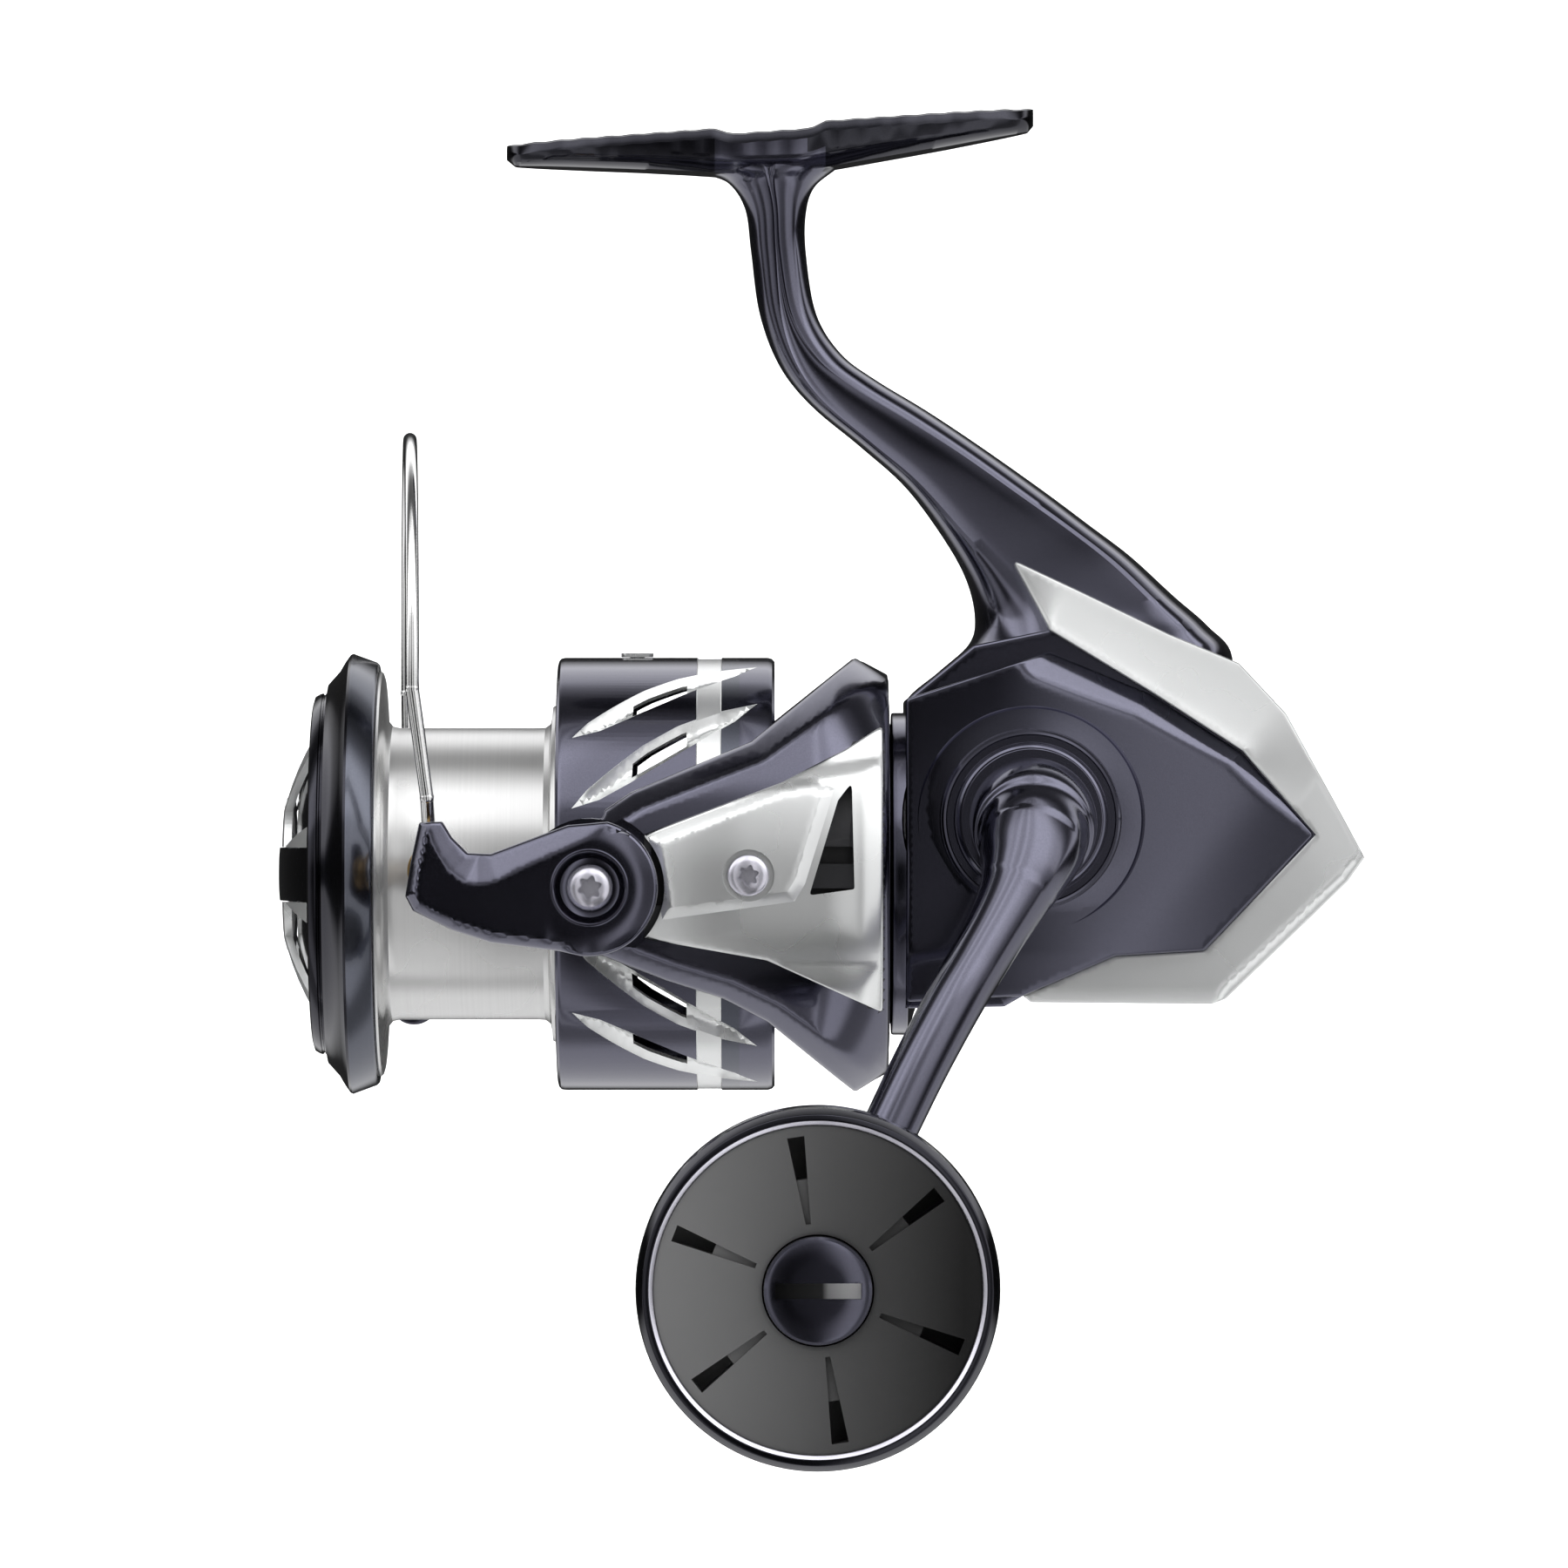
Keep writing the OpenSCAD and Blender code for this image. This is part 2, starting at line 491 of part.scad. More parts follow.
module arm_shell(s) intersection() {
  slab(arm_line, s > 0 ? 0 : -40, s > 0 ? 40 : 0);
  lathe_x([[arm_in, -60], [arm_in, -24.7], [22.1, -24.3], [19.9, -20.5], [19.9, -16.3], [26.6, -16.3],
           [29.6, -20], [arm_out, -25.5], [arm_out, -60]]);
}
module rotor_frame() color(dark) difference() {
  union() {
    lathe_x([[3.55, -29.1], [3.55, -33.2], [15.4, -33.2], [18.3, -29.5], [25.4, -20.4], [23.5, -16.5],
             [19.9, -16.3], [19.9, -19.2], [21.2, -20.6], [15.2, -28.2], [14, -29.1]]);
    for (s = [-1, 1]) {
      difference() {
        arm_shell(s);
        // the pocket under the arm cover
        block([-44, s < 0 ? -34 : 27.4, -3.4], [s < 0 ? -16 : -18.6, s < 0 ? -27.4 : 34, 3.4]);
      }
      cyl_y(pivot_r, s < 0 ? -30 : 27.2, s < 0 ? -27.2 : 30, pivot[0], pivot[1]);
    }
  }
  // the panels' seats
  for (s = [-1, 1]) intersection() {
    slab(panel_line, s < 0 ? -40 : 0, s < 0 ? 0 : 40);
    tube_x(40, 30.2, -46, -16.9);
  }
  for (s = [-1, 1]) cyl_y(8.7, s < 0 ? -40 : 30.02, s < 0 ? -30.02 : 40, pivot[0], pivot[1]);
  for (s = [-1, 1]) cyl_y(1.55, s < 0 ? -31 : 26, s < 0 ? -26 : 31, pivot[0], pivot[1]);
  for (s = [-1, 1]) cyl_y(0.85, s < 0 ? -31 : 26, s < 0 ? -26 : 31, -29.5, 0.1 + 5.2);
}
module rotor_nut() color(steel) difference() {
  translate([-36.3, 0, 0]) rotate([0, 90, 0]) cylinder(r = 6.4, h = 3.05, $fn = 6);
  cyl_x(3.05, -40, -30);
}

module arm_cover(s) {
  y0 = s < 0 ? -40 : 0;
  y1 = s < 0 ? 0 : 40;
  difference() {
    union() {
      intersection() {
        slab(panel_line, y0, y1);
        lathe_x([[30.25, -46], [30.25, -17], [30.6, -17], [32.3, -24], [32.3, -46]]);
      }
      intersection() {
        slab(raised_line, y0, y1);
        lathe_x([[30.25, -46], [30.25, -18], [31.5, -18], [cover_out, -26], [cover_out, -46]]);
      }
    }
    slab(window_line, y0, y1);
    cyl_y(8.5, y0, y1, pivot[0], pivot[1]);
    cyl_y(s < 0 ? 9.4 : 14, s < 0 ? y0 : 31.8, s < 0 ? -31.8 : y1, pivot[0], pivot[1]);
    cyl_y(2.5, s < 0 ? -34 : 31.6, s < 0 ? -31.6 : 34, cover_screw_at[0], cover_screw_at[1]);
    cyl_y(1.0, y0, y1, cover_screw_at[0], cover_screw_at[1]);
  }
}
module roller_arm_cover() color(silver) arm_cover(-1);
module far_arm_cover() color(silver) arm_cover(1);
module arm_cover_screws() color(steel) for (s = [-1, 1]) {
  translate([cover_screw_at[0], s*33.1, cover_screw_at[1]]) rotate([s > 0 ? 90 : -90, 0, 0]) difference() {
    union() {
      cylinder(r = 2.4, h = 1.3);
      cylinder(r = 0.95, h = 2.7);
    }
    six_lobe(1.2, 0.6, 0.7);
  }
}
module bail_spring() color(steel) union() {
  turns = 9;
  step = 1.9;
  for (i = [0:turns - 1]) translate([-41.4 + i*step, 28.8, 0]) rotate([0, 90, 0])
    rotate_extrude() translate([1.05, 0]) circle(r = 0.28, $fn = 16);
  cyl_x(0.7, -42.8, -24.2, 28.8, 0);
  for (i = [0:turns - 1]) cyl_x(0.95, -41.5 + i*step, -41.3 + i*step, 28.8, 0);
}
module pivot_screws() color(steel) for (s = [-1, 1])
  translate([pivot[0], s*34.2, pivot[1]]) rotate([s > 0 ? 90 : -90, 0, 0]) difference() {
    union() {
      cylinder(r = 2.9, h = 1.2);
      cylinder(r = 2.5, h = 4.15);
      cylinder(r = 1.5, h = 6.6);
    }
    six_lobe(1.5, 0.7, 0.8);
  }
module kick_lever() color(steel) difference() {
  union() {
    block([-42.6, -29.9, -1.4], [-19.2, -28.8, 1.4]);
    translate([-30, -29.35, -1.5]) cylinder(r = 0.8, h = 3);
  }
  block([-39, -30.5, -0.4], [-36, -28, 0.4]);
}

// ---- bail ----------------------------------------------------------------

// The bolt comes from the inside, so that nothing of it shows on the arm's face.
module roller_arm() color(dark) difference() {
  union() {
    slab(roller_arm_line, -34.4, -31.9);
    cyl_y(pivot_r, -34.4, -30.2, pivot[0], pivot[1]);
  }
  cyl_y(2.5 + gap, -40, -28, pivot[0], pivot[1]);
  cyl_y(3.6, -35, -32.9, pivot[0], pivot[1]);
  cyl_y(1.05, -33.65, -28, roller_at[0], roller_at[1]);
}
// The bail wire: near foot, near leg, crown and far leg. All lengths follow the crown's height.
wire_r = wire_d/2;
leg_y = 29.6;                // how far the legs stand to each side
near_x = -69.6;
far_tip = [-73.4, -15.5];    // the knuckle at the end of the far lever, in X and Z
far_foot = [far_tip[0] - 0.3, 30.1, far_tip[1]];
spring_z = bail_h - leg_y;   // where the legs end and the round crown starts
far_top = [-74.2, leg_y, spring_z];
module rod(a, b, r) {
  d = b - a;
  translate(a) rotate([0, acos(d[2]/norm(d)), atan2(d[1], d[0])]) cylinder(r = r, h = norm(d), $fn = 32);
}
module bail_lever() color(dark) difference() {
  union() {
    slab(bail_lever_line, 31.9, 34.2);
    cyl_y(6.5, 30.2, 34.2, pivot[0], pivot[1]);
    cyl_y(4, 28.4, 34.2, far_tip[0], far_tip[1]);
  }
  cyl_y(2.5 + gap, 28, 40, pivot[0], pivot[1]);
  cyl_y(3.6, 32.9, 35, pivot[0], pivot[1]);
  rod(far_foot + 0.03*(far_foot - far_top), far_top, wire_r + gap);
}

module bail_wire() color(silver) {
  near_foot = [near_x, -27.2, 4.1];
  near_knee = [near_x - 0.2, -leg_y, 9];
  near_top = [-71.5, -leg_y, spring_z];
  // a seat that closes the roller's inner end
  difference() {
    cyl_y(2.9, -28, -26.6, roller_at[0], roller_at[1]);
    cyl_y(0.97, -30, -26, roller_at[0], roller_at[1]);
  }
  rod([near_x + 0.4, -27.3, 2.2], near_foot, 0.6);
  rod(near_foot, near_knee, wire_r);
  rod(near_knee, near_top, wire_r);
  rod(far_foot, far_top, wire_r);
  translate(near_foot) sphere(r = wire_r + 0.05, $fn = 32);
  translate(near_knee) sphere(r = wire_r + 0.05, $fn = 32);
  translate(near_top) sphere(r = wire_r + 0.05, $fn = 32);
  translate(far_top) sphere(r = wire_r + 0.05, $fn = 32);
  // the crown leans forward and turns a little towards the far side
  mid = (near_top + far_top)/2;
  turn = atan2(far_top[0] - near_top[0], 2*leg_y);
  span = norm([far_top[0] - near_top[0], 2*leg_y])/2;
  translate(mid) rotate([0, 0, -turn]) difference() {
    rotate([90, 0, 90]) rotate_extrude() translate([span, 0]) circle(r = wire_r, $fn = 24);
    translate([-5, -40, -50]) cube([10, 80, 50]);
  }
}
module roller_bolt() color(steel) difference() {
  union() {
    cyl_y(0.95, -33.6, -26, roller_at[0], roller_at[1]);
    cyl_y(1.9, -26.58, -25.75, roller_at[0], roller_at[1]);
  }
  block([roller_at[0] - 2.5, -26.1, roller_at[1] - 0.25], [roller_at[0] + 2.5, -25, roller_at[1] + 0.25]);
}
module roller_bearing() color(steel) tube_y(1.95, 1.0, -31.8, -28.05, roller_at[0], roller_at[1]);
module line_roller() color(bronze)
  lathe_y([[2, -31.8], [3.4, -31.8], [3.4, -31.4], [2.7, -30.6], [2.6, -29.9], [2.7, -29.2],
           [3.4, -28.5], [3.4, -28.1], [2, -28.1]], roller_at[0], roller_at[1]);

// ---- oscillation train -----------------------------------------------------

module idle_gear() color(bronze) {
  spur(idle_big, bearing_of(idle_at, [0, 0]) + 180/idle_big, -17.9, -16.8, idle_at);
  spur(idle_small, bearing_of(idle_at, worm_at), -16.81, -15.2, idle_at);
  cyl_x(1.2, -20.2, -13.1, idle_at[0], idle_at[1]);
}
module worm_shaft() color(steel) {
  groove_x = -4;
  groove_l = 20;
  pitch = 6.66;            // travel of the crossed grooves for one turn
  difference() {
    cyl_x(2.6, groove_x - 0.8, groove_x + groove_l, worm_at[0], worm_at[1]);
    for (hand = [-1, 1]) translate([groove_x, worm_at[0], worm_at[1]]) rotate([0, 90, 0])
      linear_extrude(groove_l - 0.8, twist = hand*360*(groove_l - 0.8)/pitch, slices = 48, $fn = 4)
        translate([1.9, -0.55]) square([2, 1.1]);
  }
  cyl_x(1.9, -16.4, groove_x, worm_at[0], worm_at[1]);
  cyl_x(1.5, -20.3, 19.2, worm_at[0], worm_at[1]);
}
module worm_gear() color(bronze) difference() {
  spur(worm_teeth, bearing_of(worm_at, idle_at) + 180/worm_teeth, -16.5, -15.2, worm_at);
  cyl_x(1.92, -18, -14, worm_at[0], worm_at[1]);
}

// ---- main shaft ------------------------------------------------------------

module main_shaft() color(steel) difference() {
  cyl_x(shaft_r, -86, 22.25);
  cyl_x(1.0, 17, 24);
}
pawl_x = 9.9;
module slider_block() color(bronze) difference() {
  union() {
    block([17, -3, -4], [22.95, 8.5, 3.4]);
    block([8, -1.4, -6], [17.1, 3.8, -3]);
  }
  cyl_x(shaft_r + 0.02, 16, 22.3);
  cyl_x(1.5, 22, 24);
  cyl_x(1.2 + gap, 16, 24, 6.6, 0);
  translate([pawl_x, worm_at[0], -7]) cylinder(r = 1.5, h = 3.2);
}
module slider_screw() color(steel) difference() {
  union() {
    cyl_x(2.0, 22.97, 24.4);
    cyl_x(0.98, 18, 23);
  }
  block([24, -2.5, -0.3], [25, 2.5, 0.3]);
}
module spool_seat() color(bronze) tube_x(5.2, shaft_r + 0.01, -51.6, -49.9);
// The drag stack: plates of one pitch, from the bottom of its well outwards.
module drag_plate(k, ro, ri) tube_x(ro, ri, -73.8 - 0.8*k, -73.05 - 0.8*k);
module keyed_washers() color(steel) for (k = [1, 3]) drag_plate(k, 12.6, shaft_r + 0.02);
module pawl() color(bronze) union() {
  translate([pawl_x, worm_at[0], -5.9]) cylinder(r = 1.45, h = 2.0);
  translate([pawl_x - 1.1, worm_at[0] - 0.35, -6.15]) cube([2.2, 0.7, 0.4]);
}

// ---- spool and drag --------------------------------------------------------

module spool_barrel() color(silver)
  lathe_x([[shaft_r + 0.08, -73], [shaft_r + 0.08, -51.8], [5, -51.8], [5, -65.4], [15.2, -65.4],
           [15.2, -54.2], [17.8, -52.6], [22.4, -52.6], [22.4, -54.1], [19.6, -54.1], [19.6, -56.0],
           [barrel_r, -56.6], [barrel_r, -76.0], [15.4, -76.0], [15.4, -79.2], [13.2, -79.2], [13.2, -73]]);
module spool_lip() color(dark)
  lathe_x([[15.44, -76.05], [17.6, -76.05], [lip_r - 1.3, -76.4], [lip_r, -79.5], [lip_r - 4.2, -82.4],
           [lip_r - 4.3, -80.2], [15.44, -80.2]]);

module skirt_slots(r0, r1) for (far = [0, 1]) mirror([0, far, 0]) for (low = [0, 1]) mirror([0, 0, low])
  for (a = slot_angles) rotate([-a, 0, 0]) translate([0, -r0, 0]) rotate([90, 0, 0])
    linear_extrude(r1 - r0) polygon(slot_line);
module spool_skirt() color(dark) difference() {
  groove_r = skirt_r - 0.15;
  inner_r = skirt_r - skirt_wall;
  lathe_x([[19.7, -54.15], [inner_r, -54.15], [inner_r, -29.9], [skirt_r - 0.6, -29.9], [skirt_r, -30.6],
           [skirt_r, -35.8], [groove_r, -36], [groove_r, -39], [skirt_r, -39.2],
           [skirt_r, -54.8], [skirt_r - 0.5, -55.3], [19.7, -55.3]]);
  skirt_slots(23.4, 27);
  cyl_clip(0.95, 23, 27);
}
clip_x = -46;
module cyl_clip(r, z0, z1) translate([clip_x, 0, z0]) cylinder(r = r, h = z1 - z0);
module line_clip() color(silver) {
  intersection() {
    cyl_clip(1.9, 25.55, 26.02);
    block([clip_x - 1.9, -1.3, 25], [clip_x + 1.9, 1.3, 27]);
  }
  cyl_clip(0.85, 23.2, 25.6);
  cyl_clip(1.4, 22.8, 23.4);
}
module friction_washers() color(black) for (k = [0, 2, 4]) drag_plate(k, 12.8, 3);
module drag_clip() color(steel) difference() {
  tube_x(13.15, 11.9, -77.8, -77.1);
  block([-79, -3, 8], [-77, 3, 16]);
}

module drag_dial() color(dark) difference() {
  union() {
    lathe_x([[0, -83.4], [19.2, -83.4], [20.6, -84.0], [21.3, -83.2], [21.3, -80.9], [20.6, -80.5],
             [11, -80.5], [10.6, -77.2], [5.6, -77.2], [0, -80]]);
    // a finger bar across the face
    intersection() {
      lathe_x([[0, -82], [19, -82], [19, -83.6], [15.4, -85.7], [8.3, -87.6], [0, -88.4]]);
      block([-90, -17.1, -3.1], [-82, 17.1, 3.1]);
    }
  }
  translate([-84.9, 0, 0]) rotate([0, 90, 0]) cylinder(r = 4.75, h = 6, $fn = 6);
  cyl_x(5.1, -81, -76);
  cyl_x(shaft_r + 0.1, -87, -76);
}
// Silver dome ring with its windows.
module dial_trim() color(silver) difference() {
  lathe_x([[11.2, -83.45], [11.2, -86.6], [15.4, -85.9], [18.8, -83.9], [19.0, -83.45]]);
  block([-90, -17.2, -3.2], [-80, 17.2, 3.2]);
}
module drag_nut() color(steel) difference() {
  translate([-83.6, 0, 0]) rotate([0, 90, 0]) cylinder(r = 4.6, h = 2.6, $fn = 6);
  cyl_x(shaft_r + 0.05, -90, -80);
}
module drag_spring() color(steel) union() {
  for (x = [-79.5, -78.1]) translate([x, 0, 0]) rotate([0, 90, 0])
    rotate_extrude() translate([3.9, 0]) circle(r = 0.5, $fn = 24);
  for (y = [-3.9, 3.9]) cyl_x(0.4, -79.5, -78.1, y, 0);
}

body_frame();
side_cover();
rear_guard();
cover_screws();
guard_screws();
drive_bearings();
pinion_bearings();
one_way_clutch();
brake_ring();
worm_bushings();
guide_rod();
clutch_housing();
housing_screws();
handle_cap();
handle_seal();
drive_gear();
handle_arm();
handle_collar();
knob_spindle();
knob_nut();
knob_grip();
knob_rim();
knob_core();
knob_bearings();
knob_cap();
pinion();
clutch_sleeve();
rotor_frame();
rotor_nut();
roller_arm_cover();
far_arm_cover();
arm_cover_screws();
bail_spring();
pivot_screws();
kick_lever();
roller_arm();
bail_lever();
bail_wire();
roller_bolt();
roller_bearing();
line_roller();
idle_gear();
worm_shaft();
worm_gear();
main_shaft();
slider_block();
slider_screw();
spool_seat();
keyed_washers();
pawl();
spool_barrel();
spool_lip();
spool_skirt();
friction_washers();
drag_clip();
line_clip();
drag_dial();
dial_trim();
drag_nut();
drag_spring();
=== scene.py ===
"""Looks of a spinning reel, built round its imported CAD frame. Lengths in this script are millimetres."""
import json
import math

import bmesh
import bpy
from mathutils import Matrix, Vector
from mathutils.geometry import delaunay_2d_cdt


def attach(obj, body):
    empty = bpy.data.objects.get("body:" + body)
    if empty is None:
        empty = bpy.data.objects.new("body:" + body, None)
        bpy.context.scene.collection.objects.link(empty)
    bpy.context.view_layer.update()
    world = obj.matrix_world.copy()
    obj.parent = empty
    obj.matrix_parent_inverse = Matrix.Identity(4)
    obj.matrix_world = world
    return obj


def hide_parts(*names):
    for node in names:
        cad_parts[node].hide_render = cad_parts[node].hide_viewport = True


MM = 0.001
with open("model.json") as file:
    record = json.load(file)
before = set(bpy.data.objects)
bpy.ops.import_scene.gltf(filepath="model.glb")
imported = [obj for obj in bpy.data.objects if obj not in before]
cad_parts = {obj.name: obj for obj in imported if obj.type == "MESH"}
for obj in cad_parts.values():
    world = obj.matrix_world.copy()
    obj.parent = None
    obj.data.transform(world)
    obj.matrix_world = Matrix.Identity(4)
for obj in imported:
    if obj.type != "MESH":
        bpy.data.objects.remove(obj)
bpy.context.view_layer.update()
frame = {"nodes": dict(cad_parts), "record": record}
nodes = frame["nodes"]
joints = {j["name"]: j for j in frame["record"]["behaviour"]["joints"]}


def joint_at(name):
    """A joint's axis point, in millimetres."""
    return Vector(joints[name]["pos_m"]) / MM


DRIVE = joint_at("handle_turn")
PIVOT = joint_at("bail_flip")
ROLLER = joint_at("roller_spin")
KNOB = joint_at("knob_spin")
KNOB_R = 20.0
CAP_SLOT_HALF = 4.7  # half the length of the slot in the knob's cap


# ---- materials -----------------------------------------------------------

def grey(v):
    return (v, v, v)


def set_stops(ramp, stops):
    """Gives a colour ramp its (position, colour) stops."""
    elements = ramp.color_ramp.elements
    while len(elements) < len(stops):
        elements.new(0.5)
    for element, (position, colour) in zip(elements, stops):
        element.position = position
        element.color = (*colour, 1)


class Graph:
    """A short way to write a material's nodes."""

    def __init__(self, name):
        self.mat = bpy.data.materials.new(name)
        self.mat.use_nodes = True
        self.tree = self.mat.node_tree
        self.bsdf = self.tree.nodes["Principled BSDF"]
        self.coords = self.tree.nodes.new("ShaderNodeTexCoord")

    def set(self, **inputs):
        """Sets or links the shader's inputs, with an underscore for each space in a name."""
        for key, value in inputs.items():
            socket = self.bsdf.inputs[key.replace("_", " ")]
            if isinstance(value, bpy.types.NodeSocket):
                self.tree.links.new(value, socket)
            else:
                socket.default_value = value

    def noise(self, scale, detail, stretch=(1, 1, 1)):
        """Noise in the object's own space. scale counts per metre."""
        mapping = self.tree.nodes.new("ShaderNodeMapping")
        self.tree.links.new(self.coords.outputs["Object"], mapping.inputs["Vector"])
        mapping.inputs["Scale"].default_value = stretch
        n = self.tree.nodes.new("ShaderNodeTexNoise")
        self.tree.links.new(mapping.outputs["Vector"], n.inputs["Vector"])
        n.inputs["Scale"].default_value = scale
        n.inputs["Detail"].default_value = detail
        return n.outputs["Fac"]

    def ramp(self, fac, stops):
        r = self.tree.nodes.new("ShaderNodeValToRGB")
        self.tree.links.new(fac, r.inputs["Fac"])
        set_stops(r, stops)
        return r.outputs["Color"]

    def span(self, fac, low, high):
        m = self.tree.nodes.new("ShaderNodeMapRange")
        self.tree.links.new(fac, m.inputs["Value"])
        m.inputs["To Min"].default_value = low
        m.inputs["To Max"].default_value = high
        return m.outputs["Result"]

    def bump(self, height, distance, strength):
        """A bump whose distance is in metres."""
        b = self.tree.nodes.new("ShaderNodeBump")
        self.tree.links.new(height, b.inputs["Height"])
        b.inputs["Distance"].default_value = distance
        b.inputs["Strength"].default_value = strength
        return b.outputs["Normal"]


def coat_material(name, low, high, roughness):
    """Dark metallic lacquer: fine flake under a clear coat, a little uneven."""
    g = Graph(name)
    flake = g.noise(9000, 2)
    cloud = g.noise(60, 3)
    g.set(Base_Color=g.ramp(flake, [(0.35, low), (0.7, high)]), Metallic=0.99)
    g.set(Roughness=g.span(cloud, roughness, roughness + 0.05), Coat_Weight=0.5, Coat_Roughness=0.05)
    g.set(Normal=g.bump(flake, 0.00001, 0.06))
    return g.mat


def satin_material(name, low, high, roughness, metallic):
    """Satin silver plating over bead-blasted metal."""
    g = Graph(name)
    grain = g.noise(5200, 3)
    cloud = g.noise(45, 3)
    g.set(Base_Color=g.ramp(cloud, [(0.3, low), (0.7, high)]), Metallic=metallic)
    g.set(Roughness=g.span(cloud, roughness, roughness + 0.07), Normal=g.bump(grain, 0.00002, 0.22))
    return g.mat


def turned_material(name, low, high, roughness):
    """Metal turned in a lathe: fine rings round the main shaft."""
    g = Graph(name)
    rings = g.noise(1.0, 4, (3000, 6, 6))
    cloud = g.noise(40, 2)
    g.set(Base_Color=g.ramp(rings, [(0.3, low), (0.7, high)]), Metallic=0.86)
    g.set(Roughness=g.span(cloud, roughness, roughness + 0.05), Normal=g.bump(rings, 0.00001, 0.05))
    return g.mat


def steel_material(name, colour, roughness):
    """Machined metal with faint long scratches."""
    g = Graph(name)
    scratch = g.noise(900, 4, (1, 6, 1))
    dark = tuple(0.82 * c for c in colour)
    g.set(Base_Color=g.ramp(scratch, [(0.3, dark), (0.7, colour)]), Metallic=1.0)
    g.set(Roughness=g.span(scratch, roughness, roughness + 0.12), Normal=g.bump(scratch, 0.00001, 0.3))
    return g.mat


def plastic_material(name, low, high, roughness, grain_size=1500, depth=0.00004):
    """Moulded plastic or pressed fibre with a fine grain."""
    g = Graph(name)
    grain = g.noise(grain_size, 4)
    cloud = g.noise(70, 3)
    g.set(Base_Color=g.ramp(cloud, [(0.3, low), (0.7, high)]), Metallic=0.0)
    g.set(Roughness=g.span(grain, roughness - 0.06, roughness + 0.08), Normal=g.bump(grain, depth, 0.5))
    return g.mat


def painted_light_face_material(name, stops, reach, roughness=0.5):
    """The knob's front, with painted light: the base colour goes from light on one side to dark on the other,
    standing in for a sheen, over a fine grain. stops are (part of the way across, brightness), and reach is
    half the width in millimetres."""
    g = Graph(name)
    grain = g.noise(1500, 4)
    split = g.tree.nodes.new("ShaderNodeSeparateXYZ")
    g.tree.links.new(g.coords.outputs["Object"], split.inputs[0])
    across = g.span(split.outputs["X"], 0.0, 1.0)
    across.node.inputs["From Min"].default_value = (KNOB.x - reach) * MM
    across.node.inputs["From Max"].default_value = (KNOB.x + reach) * MM
    # painted light: the base colour follows the position across X
    g.set(Base_Color=g.ramp(across, [(at, grey(v)) for at, v in stops]), Specular_IOR_Level=0.12)
    g.set(Roughness=g.span(grain, roughness - 0.06, roughness + 0.08), Normal=g.bump(grain, 0.00003, 0.4))
    return g.mat


COAT = coat_material("dark_coat", (0.094, 0.094, 0.128), (0.116, 0.115, 0.155), 0.13)
COAT_SLATE = coat_material("slate_coat", (0.080, 0.086, 0.108), (0.100, 0.106, 0.132), 0.17)
# a near-black copy of the coat: the dial body and the knob rim, and painted shade on the foot and the lip's
# front
COAT_BLACK_AND_SHADE = coat_material("black_coat_and_painted_shade", (0.018, 0.018, 0.026), (0.028, 0.028, 0.038), 0.12)
SATIN = satin_material("satin_silver", (0.74, 0.75, 0.74), (0.80, 0.81, 0.80), 0.24, 0.85)
BRIGHT = turned_material("turned_aluminium", (0.63, 0.63, 0.62), (0.67, 0.67, 0.66), 0.25)
CHROME = satin_material("polished_wire", (0.78, 0.78, 0.77), (0.9, 0.9, 0.89), 0.08, 1.0)
STEEL = steel_material("machined_steel", (0.62, 0.62, 0.65), 0.22)
SCREW_STEEL = satin_material("screw_steel", (0.55, 0.54, 0.60), (0.70, 0.69, 0.76), 0.2, 0.85)
BRONZE = steel_material("machined_bronze", (0.55, 0.37, 0.17), 0.25)
# painted light: the knob face's colour is lighter on the left and darker on the right, standing in for a sheen
GRIP_PAINTED_SHEEN = painted_light_face_material("charcoal_face_painted_sheen", [(0.05, 0.12), (0.55, 0.045), (0.9, 0.006)], KNOB_R)
# painted highlight: the cap slot's floor runs from near-black on the left to bright on the right
SLOT_FLOOR_PAINTED_LIGHT = painted_light_face_material("slot_floor_painted_light", [(0.1, 0.004), (0.55, 0.02), (0.62, 0.22), (0.95, 0.5)], CAP_SLOT_HALF)
BLACK = plastic_material("black_moulding", (0.006, 0.006, 0.008), (0.014, 0.014, 0.017), 0.42)
PAD = plastic_material("pressed_fibre", (0.05, 0.045, 0.04), (0.12, 0.11, 0.10), 0.85, 3000, 0.0001)
RUBBER = plastic_material("rubber", (0.008, 0.008, 0.008), (0.02, 0.02, 0.02), 0.7, 800, 0.00003)

SLOT_MATERIAL = {
    "coat": COAT, "satin": SATIN, "bright": BRIGHT, "steel": STEEL, "bronze": BRONZE,
    "grip": GRIP_PAINTED_SHEEN, "black": BLACK, "pad": PAD, "rubber": RUBBER,
}
SLOT_OF = {s["node"]: s["material_slot"] for s in frame["record"]["subparts"]}
BODY_OF = {node: body for body, names in frame["record"]["behaviour"]["bodies"].items() for node in names}


# ---- mesh tools ------------------------------------------------------------

def link(name, data):
    """A new object in the scene."""
    ob = bpy.data.objects.new(name, data)
    bpy.context.scene.collection.objects.link(ob)
    return ob


MERGE = 0.0008  # points closer than this become one
THIN = 0.0004  # edges shorter than this go


